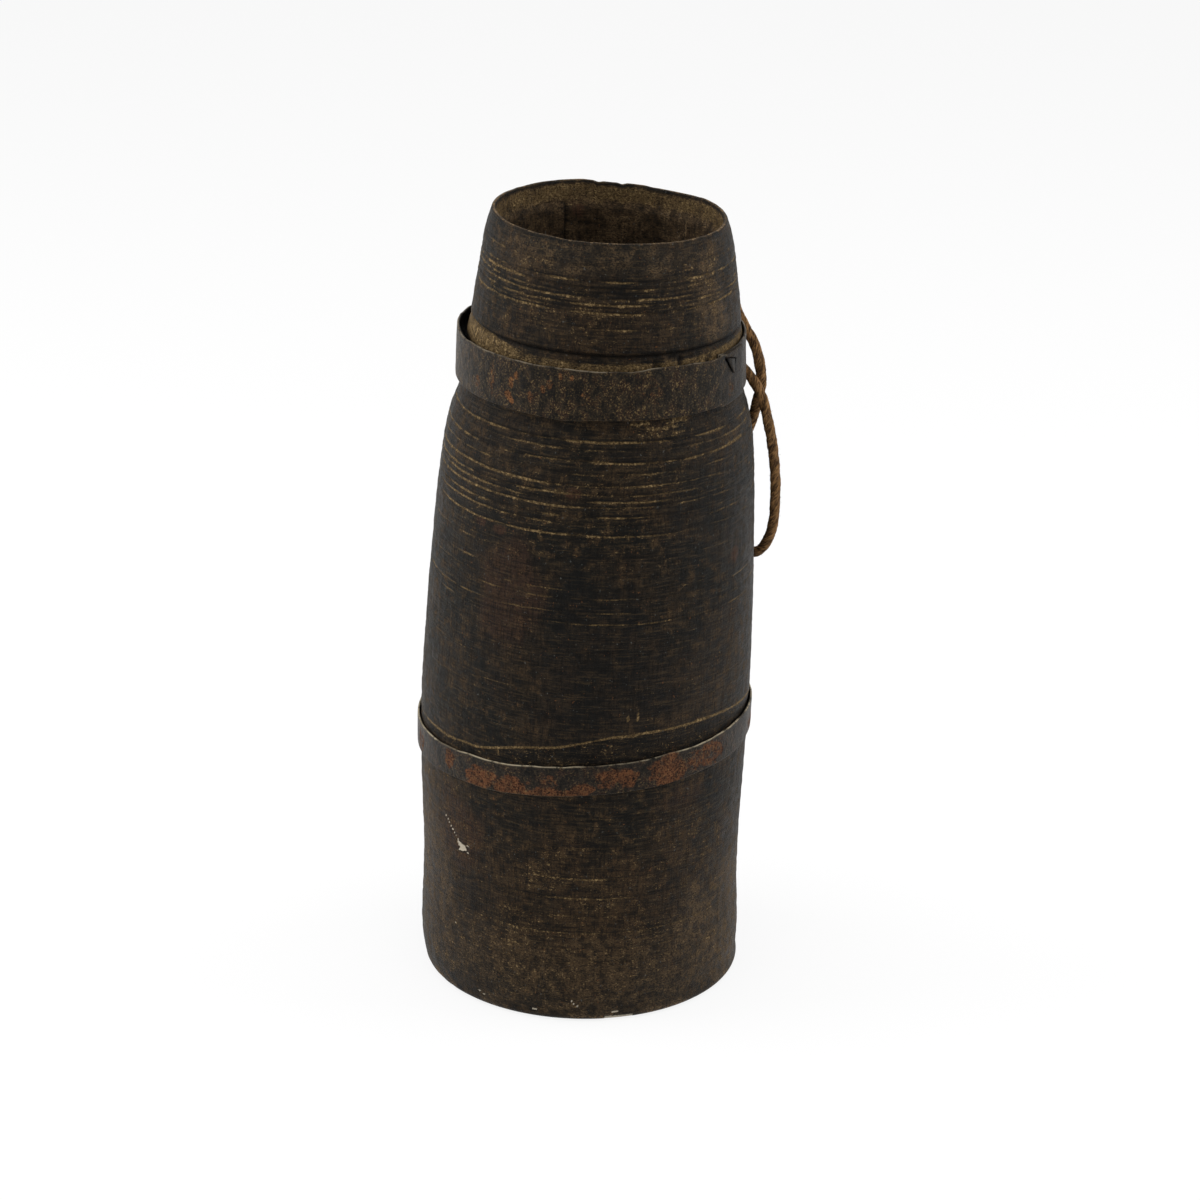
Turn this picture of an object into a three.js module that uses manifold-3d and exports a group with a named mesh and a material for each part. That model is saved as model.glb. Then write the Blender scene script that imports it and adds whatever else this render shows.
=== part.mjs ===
// A tall turned wooden pot with two iron hoops and a rope carrying loop.
// Millimetres, +Z up. The pot stands on the XY plane and its mouth leans towards +X.
// The viewer stands at -Y, so the rope hangs at the right and towards the back.

import * as THREE from 'three';
import { mergeVertices } from 'three/addons/utils/BufferGeometryUtils.js';
import Module from 'manifold-3d';

const wasm = await Module();
wasm.setup();

// Driving dimensions of the pot: each rise is the height gained since the station below

const mouthLean = 9.3;
const leanStart = 70;
const leanRun = 350;
const ringTilt = -0.02;
const bodySides = 72;

const footRadius = 80.4;
const footCorner = 3.6;
const footShift = 1.3;
const footShiftZone = 12;
const heelRadius = 81.3;
const heelRise = 16.4;
const waistRadius = 80.3;
const waistRise = 40;
const bellyRadius = 82.5;
const bellyRise = 82;
const chestRadius = 79.2;
const chestRise = 96;
const coneRadius = 74.7;
const coneRise = 52;
const seatRadius = 68.2;
const seatRise = 23.8;
const shoulderRadius = 67;
const shoulderRise = 22.2;
const shoulderTopRadius = 65.4;
const grooveRise = 8.4;
const grooveDepth = 1;
const grooveHalfWidth = 1.1;
const neckFootFlare = 8.6;
const neckFlare = 4.2;
const neckRise = 33.6;
const lipRootFlare = 2.2;
const lipRootRise = 10.6;
const lipRise = 8;
const lipRadius = 57;
const lipThickness = 2.2;
const lipRounding = 0.7;

const floorThickness = 22;
const floorCorner = 9;
const footWall = 13.3;
const bellyWall = 11.5;
const chestWall = 11.7;
const coneWall = 12.2;
const innerLedgeDrop = 11;
const innerLedgeWidth = 1.4;
const neckBoreDraft = 0.6;
const neckBoreDepth = 46.6;

const mouthTiltSide = -0.02;
const mouthTiltBack = -0.007;
const mouthTiltZone = 40;
const footLevelZone = 30;

// Driving dimensions of the hoops

const strapThickness = 1.3;
const seatClearance = 0.4;
const lapClearance = 0.3;

const upperHoopWidth = 25;
const upperHoopTaper = 0.7;
const upperHoopShift = -1;
const upperHoopTilt = -0.01;
const upperLapStart = -37;
const upperLapAngle = 18;

const lowerHoopDrop = 8.8;
const lowerHoopWidth = 15.5;
const lowerHoopTilt = 0.07;
const lowerLapStart = 100;
const lowerLapAngle = 16;

const lapRampAngle = 26;
const hoopStepAngle = 4;

const barbSetback = 11.9;
const barbWidth = 11;
const barbLength = 8.3;
const barbDrop = 2.7;
const barbSlant = 3.6;
const barbTipShift = 2.7;
const barbLift = 0.9;
const barbThickness = 0.8;

// Driving dimensions of the rope

const ropeDiameter = 5.4;
const ropeSides = 10;
const ropeClearance = 0.4;
const channelClearance = 0.9;
const hitchAngle = 50;
const bendGap = 2.7;
const overGap = 2.8;
const underGap = 2.5;
const knotRadius = 6.5;
const knotHeight = 16;
const knotGap = 2.2;
const turningGap = 0.5;

// How finely the round shapes are cut into flat faces

const cornerSteps = 3;
const wallSteps = 24;
const neckSteps = 6;
const cavitySteps = 10;
const hitchSteps = 24;
const channelSteps = 30;
const loopSteps = 56;
const knotSteps = 10;
const knotSides = 16;
const boreChecks = 4;
const mergeDistance = 1e-4;

// Heights of the stations, from the ground up

const heelHeight = footCorner + heelRise;
const waistHeight = heelHeight + waistRise;
const bellyHeight = waistHeight + bellyRise;
const chestHeight = bellyHeight + chestRise;
const coneHeight = chestHeight + coneRise;
const seatHeight = coneHeight + seatRise;
const shoulderHeight = seatHeight + shoulderRise;
const grooveHeight = shoulderHeight + grooveRise;
const neckHeight = grooveHeight + neckRise;
const lipRootHeight = neckHeight + lipRootRise;
const mouthHeight = lipRootHeight + lipRise;

const degree = Math.PI / 180;
const ropeRadius = ropeDiameter / 2;

// Colours and finishes

function finish(color, roughness, metalness) {
  return new THREE.MeshStandardMaterial({ color, roughness, metalness });
}

const woodFinish = finish(0x2b231b, 0.72, 0);
const upperIronFinish = finish(0x36302a, 0.58, 0.6);
const lowerIronFinish = finish(0x4a3325, 0.7, 0.5);
const ropeFinish = finish(0x5a3a1c, 0.9, 0);

// Shape of the pot: the axis leans, and the rings lie square to it above the foot

function ramp(value) {
  const t = Math.min(1, Math.max(0, value));
  return t * t * (3 - 2 * t);
}

function axisOffset(z) {
  return mouthLean * ramp((z - leanStart) / leanRun);
}

function potPoint(radius, angle, z) {
  const x = radius * Math.cos(angle);
  const y = radius * Math.sin(angle);
  const mouth = ramp((z - mouthHeight + mouthTiltZone) / mouthTiltZone);
  const lean = ringTilt * x * ramp(z / footLevelZone);
  const tilt = (mouthTiltSide * x + mouthTiltBack * y) * mouth;
  const shift = footShift * (1 - ramp(z / footShiftZone));
  return new THREE.Vector3(axisOffset(z) + shift + x, y, z + lean + tilt);
}

const outerWall = new THREE.CatmullRomCurve3([
  [footRadius, footCorner],
  [heelRadius, heelHeight],
  [waistRadius, waistHeight],
  [bellyRadius, bellyHeight],
  [chestRadius, chestHeight],
  [coneRadius, coneHeight],
  [seatRadius, seatHeight],
  [shoulderRadius, shoulderHeight],
  [shoulderTopRadius, grooveHeight - grooveHalfWidth],
].map(([r, z]) => new THREE.Vector3(r, 0, z)), false, 'centripetal');

const neckWall = new THREE.CatmullRomCurve3([
  [lipRadius + neckFootFlare, grooveHeight + grooveHalfWidth],
  [lipRadius + neckFlare, neckHeight],
  [lipRadius + lipRootFlare, lipRootHeight],
].map(([r, z]) => new THREE.Vector3(r, 0, z)), false, 'centripetal');

const lipInnerRadius = lipRadius - lipThickness;
const ledgeHeight = mouthHeight - innerLedgeDrop;
const ledgeRadius = lipInnerRadius - innerLedgeWidth;
const cavityFootRadius = heelRadius - footWall;

const cavityWall = new THREE.CatmullRomCurve3([
  [ledgeRadius - neckBoreDraft, mouthHeight - neckBoreDepth],
  [coneRadius - coneWall, coneHeight],
  [chestRadius - chestWall, chestHeight],
  [bellyRadius - bellyWall, bellyHeight],
  [cavityFootRadius, floorThickness + floorCorner],
].map(([r, z]) => new THREE.Vector3(r, 0, z)), false, 'centripetal');

function alongCurve(curve, steps) {
  return curve.getPoints(steps).map((p) => [p.x, p.z]);
}

function quarterRound(centreRadius, centreZ, size, fromAngle) {
  const points = [];
  for (let i = 0; i <= cornerSteps; i += 1) {
    const a = (fromAngle + 90 * i / cornerSteps) * degree;
    points.push([centreRadius + size * Math.cos(a), centreZ + size * Math.sin(a)]);
  }
  return points;
}

const floorArc = quarterRound(
  cavityFootRadius - floorCorner, floorThickness + floorCorner, floorCorner, -90,
).reverse();

const outerProfile = [
  ...quarterRound(footRadius - footCorner, footCorner, footCorner, -90).slice(0, -1),
  ...alongCurve(outerWall, wallSteps),
  [shoulderTopRadius - grooveDepth, grooveHeight],
  ...alongCurve(neckWall, neckSteps),
  [lipRadius, mouthHeight - lipRounding],
];

const potProfile = [
  ...outerProfile,
  [lipRadius - lipRounding, mouthHeight],
  [lipInnerRadius + lipRounding, mouthHeight],
  [lipInnerRadius, mouthHeight - lipRounding],
  [lipInnerRadius, ledgeHeight],
  [ledgeRadius, ledgeHeight - innerLedgeWidth / 2],
  ...alongCurve(cavityWall, cavitySteps).slice(0, -1),
  ...floorArc,
];

// A closed skin over rings of points, with both ends closed by a fan to a middle point

function skin(rings, firstMiddle, lastMiddle) {
  const sides = rings[0].length;
  const positions = rings.flat();
  const indices = [];
  for (let i = 0; i + 1 < rings.length; i += 1) {
    for (let j = 0; j < sides; j += 1) {
      const k = (j + 1) % sides;
      const a = i * sides + j;
      const b = i * sides + k;
      const c = (i + 1) * sides + j;
      const d = (i + 1) * sides + k;
      indices.push(a, b, d, a, d, c);
    }
  }
  const first = positions.length;
  positions.push(firstMiddle, lastMiddle);
  const lastRing = (rings.length - 1) * sides;
  for (let j = 0; j < sides; j += 1) {
    const k = (j + 1) % sides;
    indices.push(first, k, j);
    indices.push(first + 1, lastRing + j, lastRing + k);
  }
  const geometry = new THREE.BufferGeometry().setFromPoints(positions);
  geometry.setIndex(indices);
  return geometry;
}

function potGeometry() {
  const rings = potProfile.map(([radius, z]) => {
    const ring = [];
    for (let j = 0; j < bodySides; j += 1) {
      ring.push(potPoint(radius, 2 * Math.PI * j / bodySides, z));
    }
    return ring;
  });
  return skin(rings, potPoint(0, 0, 0), potPoint(0, 0, floorThickness));
}

// Joining and cutting of closed meshes

function solidOf(geometry) {
  const bare = geometry.clone();
  bare.deleteAttribute('normal');
  bare.deleteAttribute('uv');
  const merged = mergeVertices(bare, mergeDistance);
  const mesh = new wasm.Mesh({
    numProp: 3,
    vertProperties: new Float32Array(merged.attributes.position.array),
    triVerts: new Uint32Array(merged.index.array),
  });
  return new wasm.Manifold(mesh);
}

function geometryOf(solid) {
  const mesh = solid.getMesh();
  const geometry = new THREE.BufferGeometry();
  geometry.setAttribute('position', new THREE.BufferAttribute(mesh.vertProperties, 3));
  geometry.setIndex(new THREE.BufferAttribute(mesh.triVerts, 1));
  geometry.computeVertexNormals();
  return geometry;
}

// Hoops: a flat strap bent round the pot, its outer end lapped over its inner end

function outerRadiusAt(z) {
  for (let i = 0; i + 1 < outerProfile.length; i += 1) {
    const [r0, z0] = outerProfile[i];
    const [r1, z1] = outerProfile[i + 1];
    if (z >= z0 && z <= z1) {
      return r0 + (r1 - r0) * (z - z0) / (z1 - z0);
    }
  }
  return lipRadius;
}

function lapRise(turn) {
  return (strapThickness + lapClearance) * ramp((turn - 360 + lapRampAngle) / lapRampAngle);
}

function middleOf(ring) {
  const sum = new THREE.Vector3();
  ring.forEach((p) => sum.add(p));
  return sum.divideScalar(ring.length);
}

function strapGeometry(startAngle, lapAngle, edgePoint) {
  const turnEnd = 360 + lapAngle;
  const steps = Math.ceil(turnEnd / hoopStepAngle);
  const rings = [];
  for (let i = 0; i <= steps; i += 1) {
    const turn = turnEnd * i / steps;
    const angle = (startAngle + turn) * degree;
    const rise = lapRise(turn);
    rings.push([
      edgePoint(angle, 0, rise),
      edgePoint(angle, 1, rise),
      edgePoint(angle, 1, rise + strapThickness),
      edgePoint(angle, 0, rise + strapThickness),
    ]);
  }
  return skin(rings, middleOf(rings[0]), middleOf(rings[rings.length - 1]));
}

const hoopCentre = axisOffset(seatHeight) + upperHoopShift;

// The upper hoop is bored to clear the widest wood that it goes round

let upperHoopBore = 0;
for (let i = 0; i <= boreChecks; i += 1) {
  const up = i / boreChecks;
  const z = seatHeight + up * upperHoopWidth;
  const offCentre = Math.abs(axisOffset(z) - hoopCentre);
  const needed = outerRadiusAt(z) + offCentre + up * upperHoopTaper + seatClearance;
  upperHoopBore = Math.max(upperHoopBore, needed);
}

function upperHoopPoint(angle, up, depth) {
  const z = seatHeight + up * upperHoopWidth;
  const radius = upperHoopBore - up * upperHoopTaper + depth;
  const x = radius * Math.cos(angle);
  return new THREE.Vector3(hoopCentre + x, radius * Math.sin(angle), z + upperHoopTilt * x);
}

function lowerHoopPoint(angle, up, depth) {
  const edge = bellyHeight - lowerHoopDrop + (up - 0.5) * lowerHoopWidth;
  const z = edge + lowerHoopTilt * bellyRadius * Math.cos(angle);
  const radius = outerRadiusAt(z) + seatClearance + depth;
  return new THREE.Vector3(axisOffset(z) + radius * Math.cos(angle), radius * Math.sin(angle), z);
}

// The barb is a small tongue punched out of the outer lap, pointing down and a little askew

function barbGeometry() {
  const middle = (upperLapStart + upperLapAngle - barbSetback) * degree;
  const lapDepth = strapThickness + lapClearance + strapThickness;
  const sunk = lapDepth - strapThickness / 2;
  const rootDepth = lapDepth + barbLift - barbThickness;
  const tipDepth = lapDepth + barbLift;
  const corners = [
    { across: -barbWidth / 2, rise: barbSlant / 2, depth: rootDepth },
    { across: 0, rise: 0, depth: rootDepth },
    { across: barbWidth / 2, rise: -barbSlant / 2, depth: rootDepth },
    { across: barbTipShift, rise: -barbLength, depth: tipDepth },
  ];
  const place = ({ across, rise }, depth) => upperHoopPoint(
    middle + across / upperHoopBore,
    1 - (barbDrop - rise) / upperHoopWidth,
    depth,
  );
  const inner = corners.map((corner) => place(corner, sunk));
  const outer = corners.map((corner) => place(corner, corner.depth));
  const geometry = new THREE.BufferGeometry().setFromPoints([...inner, ...outer]);
  geometry.setIndex([
    0, 1, 3, 1, 2, 3, 4, 7, 5, 5, 7, 6,
    0, 4, 5, 0, 5, 1, 1, 5, 6, 1, 6, 2, 2, 6, 7, 2, 7, 3, 3, 7, 4, 3, 4, 0,
  ]);
  return geometry;
}

// Rope: one closed loop round the upper strap. It runs up a channel in the wood behind
// the strap, over the top edge, down and round in the air, and back under the lower edge.

function ropeTube(points, radius, steps) {
  const section = new THREE.Shape();
  for (let i = 0; i < ropeSides; i += 1) {
    const a = 2 * Math.PI * i / ropeSides;
    const x = radius * Math.cos(a);
    const y = radius * Math.sin(a);
    if (i === 0) section.moveTo(x, y);
    else section.lineTo(x, y);
  }
  section.closePath();
  const path = new THREE.CatmullRomCurve3(points, false, 'centripetal');
  const tube = new THREE.ExtrudeGeometry(section, { steps, bevelEnabled: false, extrudePath: path });
  tube.deleteAttribute('normal');
  tube.deleteAttribute('uv');
  return mergeVertices(tube, mergeDistance);
}

const outward = new THREE.Vector3(Math.cos(hitchAngle * degree), Math.sin(hitchAngle * degree), 0);
const forward = new THREE.Vector3(outward.y, -outward.x, 0);

function hitchPoint(reach, z, along = 0) {
  return new THREE.Vector3(hoopCentre, 0, z)
    .addScaledVector(outward, reach)
    .addScaledVector(forward, along);
}

const hitchTilt = upperHoopTilt * upperHoopBore * Math.cos(hitchAngle * degree);
const overTop = seatHeight + upperHoopWidth + hitchTilt + overGap + ropeRadius;
const underBottom = seatHeight + hitchTilt - underGap - ropeRadius;
const insideReach = upperHoopBore - upperHoopTaper - ropeClearance - ropeRadius;
const bendRadius = ropeRadius + bendGap;
const bendReach = insideReach + bendRadius;
const hitchReach = upperHoopBore + strapThickness + knotGap + knotRadius;
const jointGap = ropeRadius + turningGap;

const hitchPath = [
  [hitchReach - knotRadius - ropeClearance, overTop],
  ...quarterRound(bendReach, overTop - bendRadius, bendRadius, 90),
  ...quarterRound(bendReach, underBottom + bendRadius, bendRadius, 180),
  [hitchReach - jointGap, underBottom],
].map(([reach, z]) => hitchPoint(reach, z));

// The free route, chosen by hand: from the knot forward and down, behind the pot,
// round the bottom of the loop, up the side, and back under the strap

const loopPath = [
  hitchPoint(hitchReach, overTop, knotRadius + ropeClearance),
  hitchPoint(hitchReach, overTop, knotRadius + ropeClearance + ropeDiameter),
  new THREE.Vector3(70.5, 47, 341.5),
  new THREE.Vector3(72, 39, 338),
  new THREE.Vector3(74.5, 31, 334.5),
  new THREE.Vector3(78, 25, 329.5),
  new THREE.Vector3(82, 22.5, 322.5),
  new THREE.Vector3(85, 22, 311),
  new THREE.Vector3(85.5, 23, 302),
  new THREE.Vector3(84.5, 24.5, 295),
  new THREE.Vector3(83, 28, 286),
  new THREE.Vector3(80.5, 35, 274.5),
  new THREE.Vector3(77, 43, 263),
  new THREE.Vector3(73, 50, 250),
  new THREE.Vector3(71, 53.5, 235.5),
  new THREE.Vector3(72, 52, 221.5),
  new THREE.Vector3(76.5, 46.5, 211.5),
  new THREE.Vector3(81.5, 39.5, 208),
  new THREE.Vector3(87, 32.5, 210),
  new THREE.Vector3(91.5, 26.5, 218),
  new THREE.Vector3(94, 22.5, 229),
  new THREE.Vector3(94.5, 20.5, 242),
  new THREE.Vector3(94, 18, 256),
  new THREE.Vector3(92, 14, 273),
  new THREE.Vector3(89, 11, 288),
  new THREE.Vector3(86.5, 12, 297.5),
  new THREE.Vector3(83.5, 15, 303.5),
  new THREE.Vector3(79, 21, 308.5),
  new THREE.Vector3(74.5, 29.5, 310.5),
  new THREE.Vector3(70.5, 40.5, 310.5),
  new THREE.Vector3(69, 48.5, 309.5),
  hitchPoint(hitchReach, underBottom, jointGap + ropeDiameter),
  hitchPoint(hitchReach, underBottom, jointGap),
];

const knotProfile = [];
for (let i = 0; i <= knotSteps; i += 1) {
  const a = (i / knotSteps - 0.5) * Math.PI;
  knotProfile.push(new THREE.Vector2(knotRadius * Math.cos(a), knotHeight / 2 * Math.sin(a)));
}
knotProfile[0].x = 0;
knotProfile[knotSteps].x = 0;

// The pieces

const root = new THREE.Group();
const standing = new THREE.Box3();

function addPiece(name, geometry, material) {
  geometry.computeVertexNormals();
  const mesh = new THREE.Mesh(geometry, material);
  mesh.name = name;
  root.add(mesh);
  if (material !== ropeFinish) standing.expandByObject(mesh);
  return mesh;
}

const channel = ropeTube(hitchPath, ropeRadius + channelClearance, channelSteps);
const pot = solidOf(potGeometry()).subtract(solidOf(channel));
addPiece('pot_body', geometryOf(pot), woodFinish);

const upperStrap = solidOf(strapGeometry(upperLapStart, upperLapAngle, upperHoopPoint));
addPiece('upper_hoop', geometryOf(upperStrap.add(solidOf(barbGeometry()))), upperIronFinish);
addPiece('lower_hoop', strapGeometry(lowerLapStart, lowerLapAngle, lowerHoopPoint), lowerIronFinish);

addPiece('rope_hitch', ropeTube(hitchPath, ropeRadius, hitchSteps), ropeFinish);
addPiece('rope_loop', ropeTube(loopPath, ropeRadius, loopSteps), ropeFinish);

const knot = addPiece('rope_knot', new THREE.LatheGeometry(knotProfile, knotSides), ropeFinish);
knot.rotation.x = Math.PI / 2;
knot.position.copy(hitchPoint(hitchReach, overTop));

// The origin is under the middle of the pot and its hoops, at the height of the ground

const middle = standing.getCenter(new THREE.Vector3());
root.position.set(-middle.x, -middle.y, -standing.min.z);

export default root;
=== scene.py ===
import math

import bpy
import numpy as np
from mathutils import Matrix, Vector


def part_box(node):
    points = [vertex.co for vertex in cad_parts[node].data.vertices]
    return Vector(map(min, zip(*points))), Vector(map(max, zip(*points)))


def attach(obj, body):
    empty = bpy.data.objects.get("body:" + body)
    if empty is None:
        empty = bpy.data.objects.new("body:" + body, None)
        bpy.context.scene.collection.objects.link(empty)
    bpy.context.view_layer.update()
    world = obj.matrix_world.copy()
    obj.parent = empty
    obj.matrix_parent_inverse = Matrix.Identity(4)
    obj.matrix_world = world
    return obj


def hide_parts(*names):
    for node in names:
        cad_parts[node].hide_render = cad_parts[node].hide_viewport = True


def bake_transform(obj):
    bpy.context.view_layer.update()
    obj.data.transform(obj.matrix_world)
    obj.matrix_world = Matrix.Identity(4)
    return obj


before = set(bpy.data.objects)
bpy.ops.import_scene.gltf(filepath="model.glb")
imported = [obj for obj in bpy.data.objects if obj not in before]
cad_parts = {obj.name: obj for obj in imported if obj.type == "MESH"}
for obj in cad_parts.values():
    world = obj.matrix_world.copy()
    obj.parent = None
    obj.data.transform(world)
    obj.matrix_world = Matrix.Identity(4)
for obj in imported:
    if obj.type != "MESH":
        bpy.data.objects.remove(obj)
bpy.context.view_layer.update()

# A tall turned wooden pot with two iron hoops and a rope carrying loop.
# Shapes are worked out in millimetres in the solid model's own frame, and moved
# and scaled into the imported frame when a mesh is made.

MM = 0.001
SEED = 4127

# The pot: stations of its outer wall, as (radius, height)

FOOT_RADIUS = 80.4
FOOT_CORNER = 3.6
OUTER_WALL = [
    (80.4, 3.6), (81.3, 20), (80.3, 60), (82.5, 142), (79.2, 238),
    (74.7, 290), (68.2, 313.8), (67, 336), (65.4, 343.3),
]
GROOVE_HEIGHT = 344.4
GROOVE_DEPTH = 1.0
NECK_WALL = [(65.6, 345.5), (61.2, 378), (59.2, 388.6), (57, 395.5)]
MOUTH_HEIGHT = 396.6
LIP_RADIUS = 57.0
LIP_THICKNESS = 2.2
LEDGE_HEIGHT = 385.6
LEDGE_RADIUS = 53.4
LEDGE_RISE = 0.8
LEDGE_FALL = 3.6
BORE_TAPER = 0.6
BORE_LENGTH = 35.0
CAVITY_WALL = [(52.8, 350), (62.5, 290), (67.5, 238), (71, 142), (68, 31)]
FLOOR_HEIGHT = 22.0
FLOOR_CORNER = 9.0

# How the axis leans and the rings tilt

MOUTH_LEAN = 9.3
LEAN_START = 70.0
LEAN_RUN = 350.0
RING_TILT = -0.02
FOOT_LEVEL_ZONE = 30.0
FOOT_SHIFT = 1.3
FOOT_SHIFT_ZONE = 12.0
MOUTH_TILT_SIDE = -0.02
MOUTH_TILT_BACK = -0.007
MOUTH_TILT_ZONE = 40.0

# The hoops

STRAP_THICKNESS = 1.3
LAP_RISE = 1.6
LAP_RAMP_ANGLE = 26.0
UPPER_FOOT = 313.8
UPPER_WIDTH = 25.0
UPPER_BORE = 69.7177
UPPER_TAPER = 0.7
UPPER_TILT = -0.01
UPPER_SHIFT = -1.0
UPPER_LAP_START = -37.0
UPPER_LAP_ANGLE = 18.0
LOWER_MIDDLE = 133.2
LOWER_WIDTH = 15.5
LOWER_TILT = 0.07
LOWER_TILT_RADIUS = 82.5
LOWER_CLEARANCE = 0.4
LOWER_LAP_START = 100.0
LOWER_LAP_ANGLE = 16.0
BARB_ANGLE = -30.9
BARB_WIDTH = 11.0
BARB_LENGTH = 8.3
BARB_DROP = 2.7
BARB_SLANT = 3.6
BARB_TIP_SHIFT = 2.7
BARB_LIFT = 0.9
BARB_SLIT = 0.8
BARB_GAPS = (2.4, 0.9)
BARB_PIT = 0.9
LAP_GRIME_ANGLE = -22.0
LAP_GRIME_SPREAD = 24.0

# The rope

ROPE_DIAMETER = 5.4
HITCH_ANGLE = math.radians(50.0)
HITCH_REACH = 79.7177
INSIDE_REACH = 65.918
BEND_RADIUS = 5.4
OVER_TOP = 343.852
UNDER_BOTTOM = 308.152
JOINT_GAP = 3.2
KNOT_RADIUS = 6.5
ROPE_CLEARANCE = 0.4
CHANNEL_RADIUS = 3.6


# Curves and numbers

def unit(value):
    return np.clip(value, 0.0, 1.0)


def ramp(value):
    """A smooth rise from 0 to 1 as the value goes from 0 to 1."""
    t = unit(value)
    return t * t * (3.0 - 2.0 * t)


def hump(value, middle, half_width):
    """1 at the middle, falling to 0 at half_width on either side."""
    return ramp(1.0 - np.abs(value - middle) / half_width)


def turn_from(angle, middle):
    """Signed angle from middle, between -180 and 180 degrees."""
    return (angle - middle + 180.0) % 360.0 - 180.0


def angle_hump(angle, middle, half_width):
    """1 at the middle angle, falling to 0 at half_width degrees on either side."""
    return hump(turn_from(angle, middle), 0.0, half_width)


def catmull_rom(points, steps):
    """A centripetal Catmull-Rom curve through the points, with steps to each stretch."""
    p = np.array(points, float)
    p = np.vstack([2 * p[0] - p[1], p, 2 * p[-1] - p[-2]])
    pieces = []
    for i in range(1, len(p) - 2):
        p0, p1, p2, p3 = p[i - 1:i + 3]
        d0, d1, d2 = (np.linalg.norm(b - a) ** 0.5 for a, b in ((p0, p1), (p1, p2), (p2, p3)))
        out = (p1 - p0) / d0 - (p2 - p0) / (d0 + d1) + (p2 - p1) / d1
        into = (p2 - p1) / d1 - (p3 - p1) / (d1 + d2) + (p3 - p2) / d2
        out, into = out * d1, into * d1
        t = np.linspace(0.0, 1.0, steps, endpoint=False)[:, None]
        pieces.append(
            p1 + out * t + (3 * (p2 - p1) - 2 * out - into) * t ** 2
            + (2 * (p1 - p2) + out + into) * t ** 3
        )
    pieces.append(p[-2:-1])
    return np.vstack(pieces)


def lengths_along(points):
    return np.concatenate([[0.0], np.cumsum(np.linalg.norm(np.diff(points, axis=0), axis=1))])


def evenly(points, spacing):
    """The same line with its points evenly spaced."""
    along = lengths_along(points)
    count = int(round(along[-1] / spacing)) + 1
    wanted = np.linspace(0.0, along[-1], count)
    return np.stack([np.interp(wanted, along, points[:, k]) for k in range(3)], axis=1)


def round_noise(rng, turns, up, cells, height):
    """Smooth noise from -1 to 1 that closes on itself after one turn."""
    v = (up - up.min()) / height
    grid = rng.uniform(-1.0, 1.0, (int(v.max()) + 2, cells))
    u = (turns % 1.0) * cells
    i, j = np.floor(u).astype(int), np.floor(v).astype(int)
    a, b = ramp(u - i), ramp(v - j)
    low = grid[j, i % cells] * (1 - a) + grid[j, (i + 1) % cells] * a
    high = grid[j + 1, i % cells] * (1 - a) + grid[j + 1, (i + 1) % cells] * a
    return low * (1 - b) + high * b


# Places in the solid model's frame

CURVE_STEPS = 40
WALL_LINE = catmull_rom(OUTER_WALL, CURVE_STEPS)


def axis_offset(z):
    """How far the pot leans to the right at this height."""
    return MOUTH_LEAN * ramp((z - LEAN_START) / LEAN_RUN)


def pot_place(radius, angle, z):
    """A point of the turned shape, with the pot's lean and the tilt of its rings."""
    x, y = radius * np.cos(angle), radius * np.sin(angle)
    mouth = ramp((z - MOUTH_HEIGHT + MOUTH_TILT_ZONE) / MOUTH_TILT_ZONE)
    lean = RING_TILT * x * ramp(z / FOOT_LEVEL_ZONE)
    tilt = (MOUTH_TILT_SIDE * x + MOUTH_TILT_BACK * y) * mouth
    shift = FOOT_SHIFT * (1.0 - ramp(z / FOOT_SHIFT_ZONE))
    return np.stack([axis_offset(z) + shift + x, y, z + lean + tilt], axis=-1)


HOOP_CENTRE = float(axis_offset(UPPER_FOOT)) + UPPER_SHIFT
OUTWARD = np.array([math.cos(HITCH_ANGLE), math.sin(HITCH_ANGLE), 0.0])
FORWARD = np.array([math.sin(HITCH_ANGLE), -math.cos(HITCH_ANGLE), 0.0])


def hitch_point(reach, z, along=0.0):
    """A point by the rope's hitch, from its reach out of the upper strap's middle and its height."""
    return np.array([HOOP_CENTRE, 0.0, z]) + OUTWARD * reach + FORWARD * along


KNOT_CENTRE = hitch_point(HITCH_REACH, OVER_TOP)
knot_low, knot_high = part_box("rope_knot")
SHIFT = np.array((knot_low + knot_high) / 2) - KNOT_CENTRE * MM


def in_frame(points):
    """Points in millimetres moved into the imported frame, in metres."""
    return np.asarray(points) * MM + SHIFT


# Meshes

def make_mesh(name, points, faces, material, attributes):
    """A mesh object from points in millimetres, with its masks and vectors stored on the points."""
    mesh = bpy.data.meshes.new(name)
    mesh.from_pydata(in_frame(points).tolist(), [], faces)
    mesh.update()
    mesh.shade_smooth()
    for key, values in attributes.items():
        values = np.asarray(values, np.float32)
        kind, field = ("FLOAT_VECTOR", "vector") if values.ndim == 2 else ("FLOAT", "value")
        mesh.attributes.new(key, kind, "POINT").data.foreach_set(field, values.ravel())
    mesh.materials.append(material)
    piece = bpy.data.objects.new(name, mesh)
    bpy.context.scene.collection.objects.link(piece)
    return piece


def grid_faces(rows, columns, closed_rows=False):
    """Quads between rows of points, each row closed on itself."""
    i = np.arange(rows if closed_rows else rows - 1)[:, None]
    j = np.arange(columns)[None, :]
    k = (j + 1) % columns
    n = (i + 1) % rows
    quads = np.stack([i * columns + j, i * columns + k, n * columns + k, n * columns + j], axis=-1)
    return quads.reshape(-1, 4).tolist()


def cap_faces(rows, columns):
    """Fans that close both ends of a grid, round two middle points that follow its own."""
    first_middle, last_row = rows * columns, (rows - 1) * columns
    faces = []
    for j in range(columns):
        k = (j + 1) % columns
        faces += [(first_middle, k, j), (first_middle + 1, last_row + j, last_row + k)]
    return faces


# Shader nodes

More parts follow.
